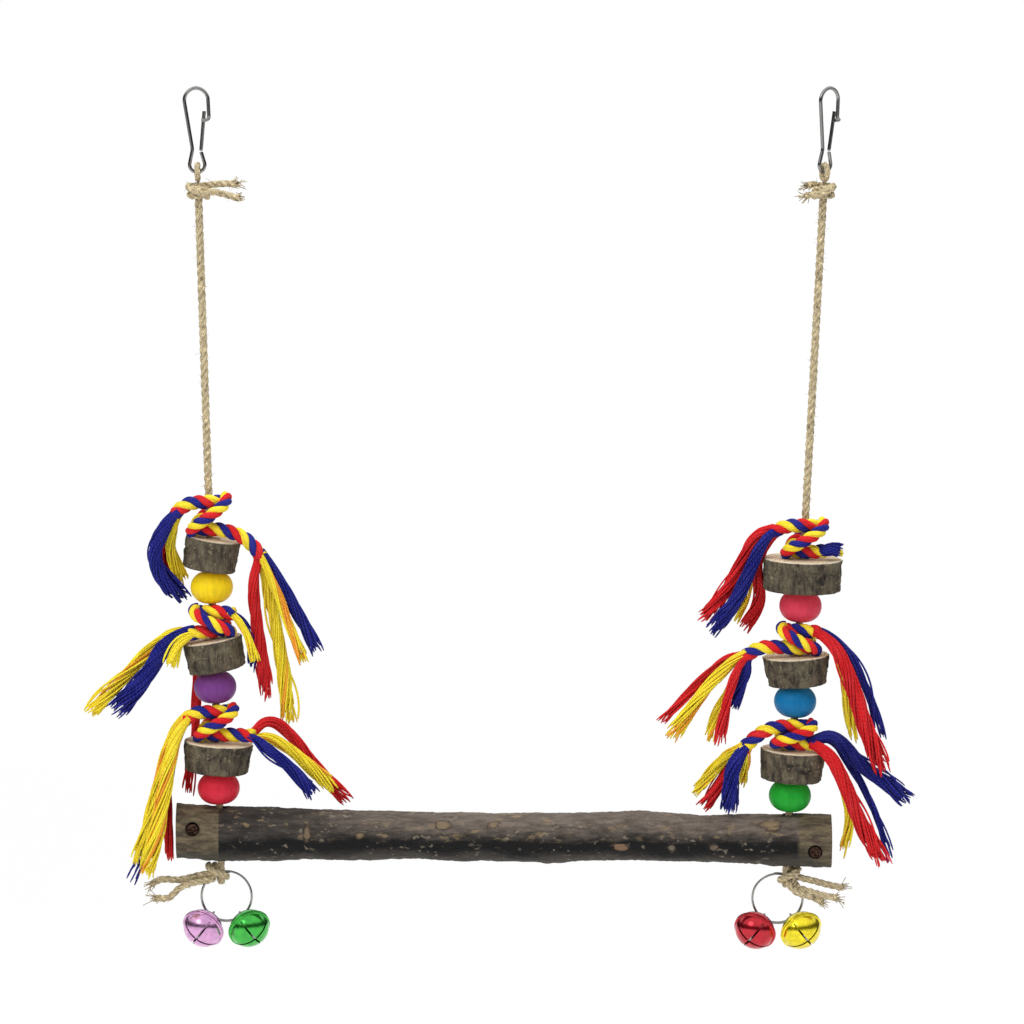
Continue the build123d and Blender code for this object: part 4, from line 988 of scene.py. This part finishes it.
class SWING_OT_hanging_ropes(bpy.types.Operator):
    """Two jute ropes with the knots at their hooks and rings."""

    bl_idname = "swing.hanging_ropes"
    bl_label = "Hanging Ropes"

    def execute(self, context):
        """Lays three strands along each straight run, each knot's winding and each loose end."""
        jute = jute_finish()
        for name in SIDES:
            self.rope(name, jute)
        return {"FINISHED"}

    def rope(self, name, jute):
        """One rope: a straight run, with a loop and winding above and a turn round the ring below."""
        thick, knot = settings().rope_diameter, settings().knot_diameter
        lift, radius = HOLE_FORM[name]
        top = -EYE_DROP - EYE_LOOP - EYE_CORD / 2 - SOFT_GAP
        foot = -line_length(name) + lift * PERCH_DIAMETER - radius * PERCH_DIAMETER / 2
        run = even_path(np.array([on_line(name, 0, 0, top), on_line(name, 0, 0, foot)]), ROPE_STEP)
        rope = jute_cord(f"{name}_rope", run, thick, tightness=1)
        fibres = loose_fibres(f"{name}_rope_fibres", run, thick / 2, *ROPE_FIBRES)
        hook = self.hook_knot(name, top - knot / MM / 2, knot)
        ring = self.ring_knot(name, foot, knot)
        for obj, node in ((rope, "hanging_rope"), (hook, "hook_knot"), (ring, "ring_knot")):
            dress(obj, jute, "swing", f"{name}_{node}")
        dress(fibres, jute, "swing")

    def hook_knot(self, name, top, knot):
        """A loop through the hook's eye over one and a half turns round the rope, with two tails."""
        right, up = rope_ways(name)
        outward = right * SIDES[name]
        cord, rope = knot / MM, settings().rope_diameter / MM
        radius = (rope / 2 + SOFT_GAP + cord / 2) * MM
        rise = 1.15 * cord
        turns = winding_route(on_line(name, 0, 0, top), BACK, outward, -up, radius, rise * MM, 1.5)
        back_tail, front_tail = HOOK_TAILS[name]
        head = [on_line(name, x, y, top + z) for x, y, z in reversed(back_tail)]
        head.append(turns[0] - outward * TAIL_RUN * MM)
        tail = [turns[-1] - outward * TAIL_RUN * MM]
        tail += [on_line(name, x, y, top - rise + z) for x, y, z in front_tail]
        path = spline_path(np.vstack([head, turns, tail]), KNOT_STEP)
        pieces = [jute_cord("winding", path, knot), frayed_end(path, knot), frayed_end(path[::-1], knot)]
        turn = math.radians(EYE_TURN[name])
        eye, wire = on_line(name, 0, 0, -EYE_DROP), right * math.cos(turn) + BACK * math.sin(turn)
        angle = np.linspace(0, 2 * np.pi, LOOP_POINTS)[:, None]
        loop = eye + (np.cross(wire, up) * np.sin(angle) - up * np.cos(angle)) * EYE_LOOP * MM
        pieces.append(jute_cord("loop", loop, EYE_CORD * MM, phase=0.6))
        middle = on_line(name, 0, 0, top - rise / 2)
        reach, dive, climb = radius + cord * 0.92 * MM, cord * 0.7 * MM, rise * 0.5 * MM
        crossing = aslant_arc(middle, outward * 0.8, up, reach, dive, climb)
        pieces.append(jute_cord("crossing", crossing, knot, phase=0.3))
        pieces.append(loose_fibres("fibres", path, knot / 2, *KNOT_FIBRES))
        return join(f"{name}_hook_knot_cord", pieces)

    def ring_knot(self, name, foot, knot):
        """One turn round the ring's wire, then a tail, beside the rope's other loose ends."""
        cord, side = knot / MM, SIDES[name]
        radius = RING_REACH + RING_GAP + cord / 2
        pitch = cord + COIL_GAP
        pivot = on_line(name, side * pitch / 2, radius, foot - SOFT_GAP - radius - cord / 2)
        aside = np.array([side, 0.0, 0])
        start = pivot - aside * pitch / 2 * MM
        turns = winding_route(start, FRONT, DOWN, aside, radius * MM, pitch * MM, 1)
        over = on_line(name, 0, 0, foot - SOFT_GAP)
        last = start + aside * pitch * MM + FRONT * radius * MM
        path = spline_path(np.vstack([[over], turns, last + np.array(RING_TAILS[name]) * MM]), KNOT_STEP)
        pieces = [jute_cord("winding", path, knot), frayed_end(path, knot)]
        middle = start + aside * pitch / 2 * MM - DOWN * CROSSING_LIFT * MM
        reach, dive, climb = (radius + cord * 0.9) * MM, cord * 0.75 * MM, cord * 0.6 * MM
        crossing = aslant_arc(middle, aside * 0.82, -DOWN, reach, dive, climb)
        pieces.append(jute_cord("crossing", crossing, knot, phase=0.3))
        clear = start + aside * (pitch + cord / 2 + SOFT_GAP) * MM
        for route in RING_ENDS[name]:
            end = spline_path(clear + np.array(route) * MM, KNOT_STEP)
            pieces += [jute_cord("end", end, knot, phase=1.0), frayed_end(end, knot)]
        pieces.append(loose_fibres("fibres", path, knot / 2, *KNOT_FIBRES))
        return join(f"{name}_ring_knot_cord", pieces)


class SWING_OT_cotton_ties(bpy.types.Operator):
    """Six ties of three-ply cotton rope with fringed ends."""

    bl_idname = "swing.cotton_ties"
    bl_label = "Cotton Ties"

    def execute(self, context):
        """Lays each tie's rope in three dyes and unlays its ends into bundles of yarn."""
        laid, yarn = cotton_finish("laid_cotton", 0.35, 9), cotton_finish("cotton_yarn", 0.5, 2)
        for name in SIDES:
            for key, (_, tie) in stack_heights(name).items():
                self.tie(name, key, tie, laid, yarn)
        return {"FINISHED"}

    def dye(self, colour):
        """A dye's colour with alpha."""
        return np.array([*getattr(settings(), f"{colour}_colour"), 1.0])

    def tie(self, name, key, height, laid, yarn):
        """One turn round the jute, from one lead over the winding to the other lead."""
        routes, thick = TIE_ROUTES[key], settings().cotton_diameter
        hand, rise = routes["hand"], TIE_RISES[key]
        right, up = rope_ways(name)
        centre = on_line(name, 0, 0, height)
        radius = settings().rope_diameter / 2 + SOFT_GAP * MM + thick / 2
        top = centre + up * rise / 2 * MM
        turns = winding_route(top, FRONT, right * hand, -up, radius, rise * MM, 1)
        upper, lower = ("left", "right") if hand > 0 else ("right", "left")
        leads = {}
        for end, turn, away in ((upper, turns[0], -hand), (lower, turns[-1], hand)):
            level = centre + (turn - centre) @ up * up + FRONT * radius
            onward = centre + np.array(routes[f"{end}_lead"]) * MM
            leads[end] = np.vstack([level + right * away * TAIL_RUN * MM, onward])
        path = spline_path(np.vstack([leads[upper][::-1], turns, leads[lower]]), TIE_STEP)
        lines, radii = twisted(path, thick, settings().cotton_lay, rng.uniform(0, 6))
        dyes = np.array([self.dye(colour) for colour in ("blue", "yellow", "red")])
        rope = tubes(f"{key}_tie", lines, radii, COTTON_SIDES, dyes)
        crossing = self.crossing(key, centre, right * hand, up, dyes)
        ends = (upper, path[::-1]), (lower, path)
        fringe = join(f"{key}_fringe", [self.fringe(key, end, centre, run) for end, run in ends])
        dress(rope, laid, "swing", f"{key}_cotton_knot")
        dress(fringe, yarn, "swing", f"{key}_cotton_fringe")
        dress(crossing, laid, "swing")

    def crossing(self, key, centre, aside, up, dyes):
        """The strand over the knot's front."""
        thick = settings().cotton_diameter
        reach, dive = settings().rope_diameter / 2 + thick * 1.42, thick * 0.72
        climb = 0.47 * TIE_RISES[key] * MM
        path = aslant_arc(centre, aside, up, reach, dive, climb)
        lines, radii = twisted(path, thick * 0.86, settings().cotton_lay * 0.9, rng.uniform(0, 6))
        return tubes(f"{key}_crossing", lines, radii, COTTON_SIDES, dyes)

    def fringe(self, key, end, centre, path):
        """The plies at one end: each a bundle of yarns that fans out towards its cut end."""
        plies = TIE_ROUTES[key][f"{end}_plies"]
        tip, ahead = path[-1], unit(path[-1] - path[-6])
        front = unit(FRONT - ahead * (FRONT @ ahead))
        outer = np.cross(ahead, front) * -SIDES[end]
        thick = settings().cotton_diameter
        pieces = []
        for number, (dye, diameter, steps) in enumerate(plies):
            angle = 2 * np.pi * number / len(plies)
            root = tip + (front * math.cos(angle) + outer * math.sin(angle)) * thick * PLY_REACH
            route = np.vstack([root - ahead * PLY_ROOT * MM, root, centre + np.array(steps) * MM])
            pieces.append(self.bundle(spline_path(route, PLY_STEP), diameter * MM, dye))
        return join(f"{key}_{end}", pieces)

    def bundle(self, path, diameter, dye):
        """Yarns at random places in a ply: they circle its line slowly, spread, wave and end unevenly."""
        yarn, length, points = settings().yarn_diameter, path_length(path), len(path)
        diameter = diameter * LOOSE_PLY
        count = max(LEAST_YARNS, int(YARN_FILL * (diameter / yarn) ** 2))
        number, share = np.arange(count)[:, None], np.linspace(0, 1, points)[None]
        normal, across = (part[0] for part in path_frames(path[None]))
        place = np.sqrt((number + 0.5) / count) * (diameter - yarn) / 2
        angle = number * YARN_ANGLE + share * length / YARN_TURN * 2 * np.pi
        spread = 0.55 + 0.45 * np.clip(share / 0.3, 0, 1) + np.clip(share - 0.5, 0, 1) ** 1.5
        wave = rng.uniform(0, 6.28, (count, 1))
        pace = rng.uniform(2, 5, (count, 1)) * length / YARN_WAVE
        stray = np.where(rng.random((count, 1)) < STRAY_SHARE, STRAY_STIR, 1.0) * YARN_STIR * (0.25 + share)
        u = place * spread * np.cos(angle) + np.sin(wave + pace * share) * stray
        v = place * spread * np.sin(angle) + np.cos(wave * 1.7 + pace * 0.8 * share) * stray
        lines = path + normal * u[:, :, None] + across * v[:, :, None]
        reach = share * rng.uniform(0.88, 1.05, (count, 1)) * (points - 1)
        index = np.clip(np.floor(reach).astype(int), 0, points - 2)
        part = (reach - index)[:, :, None]
        lines = lines[number, index] * (1 - part) + lines[number, index + 1] * part
        radii = np.full(lines.shape[:2], yarn / 2) * rng.uniform(0.95, 1.4, (count, 1))
        radii[:, -1] *= 0.5
        bled = (rng.random((count, 1)) < BLED_SHARE) * (dye == "yellow")
        tint = self.dye(dye) * np.where(bled, BLED_TINT, 1.0)
        tint[:, :3] *= rng.uniform(0.86, 1.12, (count, 1))
        return tubes("bundle", lines, radii, YARN_SIDES, np.clip(tint, 0, 1))


class SWING_OT_wood_slices(bpy.types.Operator):
    """Six slices of branch with rough bark round sawn faces."""

    bl_idname = "swing.wood_slices"
    bl_label = "Wood Slices"

    def execute(self, context):
        """Turns each slice's section round its own leaning axis and roughens its bark."""
        wood = slice_finish()
        for name in SIDES:
            for number, (key, (height, _)) in enumerate(stack_heights(name).items()):
                seed = 11 * number + 40 * SIDES[name] + 60
                obj = self.slice(name, key, height, seed)
                dress(obj, wood, f"{key}_slice", f"{key}_wood_slice")
        return {"FINISHED"}

    def slice(self, name, key, height, seed):
        """A closed section of bore, foot, bark and top, carried round; noise moves the bark in and out."""
        top, foot, thickness, lean = SLICES[key]
        tilt, half = math.radians(lean), thickness / 2
        bore = settings().rope_diameter / MM / 2 / math.cos(tilt) + half * math.tan(abs(tilt)) + BORE_GAP
        flat, side = np.linspace(0, 1, FACE_ROWS), np.linspace(0, 1, BARK_ROWS)
        radius = np.concatenate([
            bore + (foot / 2 - SLICE_EDGE - bore) * flat,
            foot / 2 + (top - foot) / 2 * side,
            top / 2 - SLICE_EDGE + (bore - top / 2 + SLICE_EDGE) * flat,
        ])[:, None]
        rise = np.pad(-half + SLICE_EDGE + (thickness - 2 * SLICE_EDGE) * side, FACE_ROWS)[:, None]
        rise[:FACE_ROWS], rise[-FACE_ROWS:] = -half, half
        sawn = np.ones_like(radius)
        sawn[FACE_ROWS - 1 : -FACE_ROWS] = 0
        u, v = np.broadcast_arrays(
            np.arange(SLICE_COLUMNS)[None] / SLICE_COLUMNS, np.pad(side, FACE_ROWS, mode="edge")[:, None]
        )
        out = np.clip((radius - bore) / (max(top, foot) / 2 - bore), 0, 1) * np.ones_like(u)
        lumps = lattice_noise(u, 0 * v, 5, 1, seed) * LUMP_DEPTH
        furrow = bark_noise(u, v, 34, 5, seed + 3) * FURROW_DEPTH
        split = np.clip(0.5 - np.abs(lattice_noise(u, v, 9, 1, seed + 9)) * 9, 0, 1) * SPLIT_DEPTH
        reach = radius + (lumps - SLICE_LOSS) * out + (furrow - split) * (1 - sawn)
        rough = bark_noise(u, out, 20, 8, seed + 5) * SAW_DEPTH * sawn
        angle = (u * 2 * np.pi)[..., None]
        right, up = rope_ways(name)
        axis = up * math.cos(tilt) + right * math.sin(tilt)
        across = right * math.cos(tilt) - up * math.sin(tilt)
        points = (
            on_line(name, 0, 0, height)
            + (across * np.cos(angle) + BACK * np.sin(angle)) * reach[..., None] * MM
            + axis * (rise + rough)[..., None] * MM
        )
        values = {"sawn": np.broadcast_to(sawn, u.shape), "reach": out}
        return add_piece(f"{key}_slice_wood", points, ring_faces(*u.shape), values=values)


class SWING_OT_perch(bpy.types.Operator):
    """The bark perch with its rope holes and screw recesses."""

    bl_idname = "swing.perch"
    bl_label = "Perch"

    def execute(self, context):
        """Carries a circle along the bent branch, roughens it and sinks the holes into it."""
        along = np.linspace(0, 1, PERCH_ROWS)
        lift, radius = self.branch_form(along)
        u, v = np.broadcast_arrays(np.arange(PERCH_COLUMNS)[None] / PERCH_COLUMNS, along[:, None])
        relief = settings().bark_relief / MM
        rough = bark_noise(u, v, 11, 46, 3) * relief * 0.75 + bark_noise(u, v, 30, 200, 9) * relief * 0.35
        knots = lattice_noise(u, v, 4, 14, 21) * KNOT_DEPTH
        reach = radius[:, None] + rough + knots - PERCH_LOSS
        angle = u * 2 * np.pi
        x = -PERCH_SHIFT - PERCH_LENGTH / 2 + v * PERCH_LENGTH
        z = -HANG_HEIGHT + lift[:, None] + reach * np.sin(angle)
        # sunk also gives how deep each point lies in a hole or recess, for the painted shade there
        points, recess_shade = self.sunk(x, reach * np.cos(angle), z)
        shares = np.linspace(1, 0, END_RINGS + 1)[1:, None]
        start = self.end_rings(points[0], shares[::-1], -1)
        stop = self.end_rings(points[-1], shares, 1)
        points = np.concatenate([start, points, stop])
        added = ((END_RINGS, END_RINGS), (0, 0))
        # upward, how far the bark faces up, places the painted top light, shade band and floor light in its
        # finish
        values = {"recess_shade": np.pad(recess_shade, added), "upward": np.pad(np.sin(angle), added, mode="edge")}
        faces = grid_faces(len(points), PERCH_COLUMNS)
        obj = add_piece("perch_branch", points * MM, faces, values=values)
        self.close_ends(obj)
        dress(obj, perch_finish(), "swing", "perch")
        return {"FINISHED"}

    def branch_form(self, along):
        """Lift and radius of the branch in millimetres: lines between stations, eased by a running mean."""
        place, lift, radius = np.array(BRANCH_FORM).T
        fine, mean = np.linspace(0, 1, 2000), np.ones(61) / 61
        form = []
        for line, size in ((lift, PERCH_DIAMETER), (radius, PERCH_DIAMETER / 2)):
            padded = np.pad(np.interp(fine, place, line), len(mean) // 2, mode="edge")
            form.append(np.interp(along, fine, np.convolve(padded, mean, "valid")) * size)
        return form

    def sunk(self, x, y, z):
        """The points with rope holes and screw recesses sunk into them, and how deep each point lies in one,
        which sets how much painted shade it takes.
        """
        recess_shade = np.zeros_like(x)
        low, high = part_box("perch_screws")
        for name, side in SIDES.items():
            reach, edge, depth = ROPE_HOLE
            away = np.hypot(x - (side * HOLE_SPACING / 2 - PERCH_SHIFT), y)
            inside = np.clip((reach - away) / edge, 0, 1)
            z = z - np.sign(z + HANG_HEIGHT) * inside * depth
            recess_shade = np.maximum(recess_shade, inside)
            reach, edge, depth = SCREW_RECESS
            screw_x = (low if side < 0 else high).x / MM - side * SCREW_INSET
            lift = BRANCH_FORM[0 if side < 0 else -1][1] * PERCH_DIAMETER
            away = np.hypot(x - screw_x, z - (-HANG_HEIGHT + lift + SCREW_RISE[name]))
            inside = np.clip((reach - away) / edge, 0, 1) * (y < 0)
            y = y + inside * depth
            recess_shade = np.maximum(recess_shade, inside)
        return np.stack([x, y, z], -1), recess_shade

    def end_rings(self, edge, shares, side):
        """Rings that close an end: the edge drawn in towards its middle, slightly domed and rough."""
        middle = edge.mean(0)
        rings = middle + (edge - middle)[None] * shares[:, :, None]
        rough = rng.uniform(-END_ROUGH, END_ROUGH, (len(shares), len(edge)))
        rings[..., 0] += side * np.clip((1 - shares) * END_DOME + rough * shares, 0, END_LIMIT)
        return rings

    def close_ends(self, obj):
        """Joins the points that meet at the middle of each end."""
        made = bmesh.new()
        made.from_mesh(obj.data)
        bmesh.ops.remove_doubles(made, verts=made.verts, dist=0.00035 * MM)
        bmesh.ops.recalc_face_normals(made, faces=made.faces)
        made.to_mesh(obj.data)
        made.free()


class SWING_OT_beads(bpy.types.Operator):
    """Six dyed wooden beads."""

    bl_idname = "swing.beads"
    bl_label = "Beads"

    def execute(self, context):
        """Gives each bead its dye."""
        for key, (dye, colour) in BEAD_DYES.items():
            paint([f"{key}_bead"], bead_finish(dye, colour))
        return {"FINISHED"}


class SWING_OT_metalwork(bpy.types.Operator):
    """Hooks, gates, rings, screws and bells."""

    bl_idname = "swing.metalwork"
    bl_label = "Metalwork"

    def execute(self, context):
        """Gives the wire its nickel, the screws their rusty steel and the bells their lacquer and rims."""
        nickel, steel = nickel_finish(), steel_finish()
        for wire in ("snap_hook", "hook_gate", "split_ring"):
            paint([f"{name}_{wire}" for name in SIDES], nickel)
        paint([f"{bell}_bell_{piece}" for bell in BELL_LACQUERS for piece in ("loop", "pellet")], nickel)
        paint(["perch_screws"], steel)
        for bell, dye in BELL_LACQUERS.items():
            colour = bell.split("_")[1]
            lacquer = bell_finish(f"{colour}_lacquer", dye)
            paint([f"{bell}_bell_dome", f"{bell}_bell_cup"], lacquer)
            dress(self.crimp(bell), lacquer, f"{bell}_bell")
        return {"FINISHED"}

    def node_shape(self, node):
        """The points of a CAD node and the middle of its surface."""
        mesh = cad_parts[node].data
        points = np.zeros(3 * len(mesh.vertices), np.float32)
        middles = np.zeros(3 * len(mesh.polygons), np.float32)
        areas = np.zeros(len(mesh.polygons), np.float32)
        mesh.vertices.foreach_get("co", points)
        mesh.polygons.foreach_get("center", middles)
        mesh.polygons.foreach_get("area", areas)
        middle = np.average(middles.reshape(-1, 3), axis=0, weights=areas)
        return points.reshape(-1, 3).astype(float), middle

    def crimp(self, bell):
        """The folded rim between a bell's halves: two round folds side by side, carried round its axis."""
        dome, above = self.node_shape(f"{bell}_bell_dome")
        cup, below = self.node_shape(f"{bell}_bell_cup")
        axis = unit(above - below)
        height = ((dome @ axis).min() + (cup @ axis).max()) / 2
        centre = above + axis * (height - above @ axis)
        away = dome - centre
        radius = np.linalg.norm(away - (away @ axis)[:, None] * axis, axis=1).max()
        across = unit(np.cross(axis, BACK))
        behind = np.cross(across, axis)
        share = np.linspace(-1, 1, CRIMP_COLUMNS)
        folds = CRIMP_FOOT + np.abs(np.sin(share * np.pi)) ** 0.6 * CRIMP_FOLD
        out = radius + np.append(folds, CRIMP_INSIDE) * MM
        rise = np.append(share * CRIMP_HALF * MM, 0)
        angle = np.arange(CRIMP_ROWS)[:, None] / CRIMP_ROWS * 2 * np.pi
        around = across * np.cos(angle) + behind * np.sin(angle)
        points = centre + around[:, None] * out[:, None] + axis * rise[:, None]
        return add_piece(f"{bell}_crimp", points, ring_faces(len(angle), len(out)))


class SWING_OT_stage(bpy.types.Operator):
    """Pale floor, soft lamps and the camera."""

    bl_idname = "swing.stage"
    bl_label = "Stage"

    def execute(self, context):
        """Lays a pale floor under the swing, lights it softly and stands the camera in front."""
        self.floor()
        self.world()
        for name, (place, size, power) in LAMPS.items():
            self.lamp(name, place, size, power)
        self.camera()
        context.scene.view_settings.view_transform = "Standard"
        return {"FINISHED"}

    def floor(self):
        """A round floor under the swing: rings of points at growing reach, which fade to white far out."""
        reach = np.array(FLOOR_RINGS)[:, None]
        turn = np.linspace(0, 2 * np.pi, FLOOR_COLUMNS, endpoint=False)[None]
        rings = np.broadcast_arrays(reach * np.cos(turn), reach * np.sin(turn), FLOOR_HEIGHT)
        floor = add_piece("floor", np.stack(rings, -1), grid_faces(len(reach), turn.size))
        finish = Finish("pale_floor", Roughness=0.9)
        place = finish.place()
        finish.feed("Base Color", place.noise(3).mix(*FLOOR_GREYS))
        path = finish.start.node("ShaderNodeLightPath").socket.node
        seen = [Wire(finish.tree, path.outputs[ray]) for ray in ("Is Camera Ray", "Is Transmission Ray")]
        white = finish.start.node("ShaderNodeEmission", (0, WHITE), (1, 1.0))
        plain = Wire(finish.tree, finish.shader.outputs[0])
        shown = seen[0].maths("MAXIMUM", *seen) * (place.length().between(*FLOOR_FADE) * 0.1 + 0.9)
        mixed = finish.start.node("ShaderNodeMixShader", (0, shown), (1, plain), (2, white))
        finish.tree.links.new(mixed.socket, finish.tree.nodes["Material Output"].inputs[0])
        floor.data.materials.append(finish.material)

    def world(self):
        """An even pale surround; glossy pieces see a bright roof, a dark band and one small window."""
        world = bpy.data.worlds.new("surround")
        bpy.context.scene.world = world
        world.use_nodes = True
        tree = world.node_tree
        start = Wire(tree, None)
        way = start.node("ShaderNodeTexCoord", out=0)
        height = start.node("ShaderNodeSeparateXYZ", (0, way), out=2)
        window = way.vector("DOT_PRODUCT", WINDOW_WAY, out=1)
        band = height.between(0.2, 0.45) + height.between(-0.2, -0.4) * 0.3
        studio = band.mix(DARK_BAND, WHITE)
        studio = window.between(0.965, 0.985).mix(studio, WINDOW)
        path = start.node("ShaderNodeLightPath").socket.node
        glossy, camera = (Wire(tree, path.outputs[ray]) for ray in ("Is Glossy Ray", "Is Camera Ray"))
        colour = camera.mix(glossy.mix(SURROUND, studio), WHITE)
        tree.links.new(colour.socket, tree.nodes["Background"].inputs[0])

    def lamp(self, name, place, size, power):
        """A square soft lamp that faces the middle of the swing."""
        light = bpy.data.lights.new(name, "AREA")
        light.size, light.energy = size, power
        lamp = bpy.data.objects.new(name, light)
        lamp.location = place
        lamp.visible_glossy = False
        lamp.rotation_euler = self.facing(place, LAMP_TARGET)
        bpy.context.scene.collection.objects.link(lamp)

    def facing(self, place, target):
        """Angles that turn a lamp or camera at a place towards its target."""
        return (Vector(target) - Vector(place)).to_track_quat("-Z", "Y").to_euler()

    def camera(self):
        """A long lens a little above the swing, framed as the photograph."""
        lens = bpy.data.cameras.new("camera")
        camera = bpy.data.objects.new("camera", lens)
        rise = math.radians(CAMERA_RISE)
        camera.location = VIEW_CENTRE + CAMERA_DISTANCE * np.array([0, -math.cos(rise), math.sin(rise)])
        camera.rotation_euler = self.facing(camera.location, VIEW_CENTRE)
        lens.sensor_width = SENSOR_WIDTH
        lens.lens = SENSOR_WIDTH * CAMERA_DISTANCE / VIEW_WIDTH
        lens.clip_start, lens.clip_end = 0.05, 30
        bpy.context.scene.collection.objects.link(camera)
        bpy.context.scene.camera = camera


class SWING_PT_panel(bpy.types.Panel):
    """The swing's settings and steps in the sidebar."""

    bl_idname = "SWING_PT_panel"
    bl_label = "Bird Swing"
    bl_space_type = "VIEW_3D"
    bl_region_type = "UI"
    bl_category = "Swing"

    def draw(self, context):
        """Lists the settings and then the steps."""
        for setting in SwingSettings.__annotations__:
            self.layout.prop(context.scene.swing_settings, setting)
        for step in STEPS:
            self.layout.operator(step.bl_idname)


STEPS = (
    SWING_OT_hanging_ropes,
    SWING_OT_cotton_ties,
    SWING_OT_wood_slices,
    SWING_OT_perch,
    SWING_OT_beads,
    SWING_OT_metalwork,
    SWING_OT_stage,
)
CLASSES = (SwingSettings, *STEPS, SWING_PT_panel)


def register():
    """Adds the classes and the scene's settings."""
    for part in CLASSES:
        bpy.utils.register_class(part)
    bpy.types.Scene.swing_settings = bpy.props.PointerProperty(type=SwingSettings)


def unregister():
    """Takes the settings and the classes away."""
    del bpy.types.Scene.swing_settings
    for part in reversed(CLASSES):
        bpy.utils.unregister_class(part)


def main():
    """Registers the add-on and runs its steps."""
    register()
    for step in STEPS:
        group, name = step.bl_idname.split(".")
        getattr(getattr(bpy.ops, group), name)()


if __name__ == "__main__":
    main()
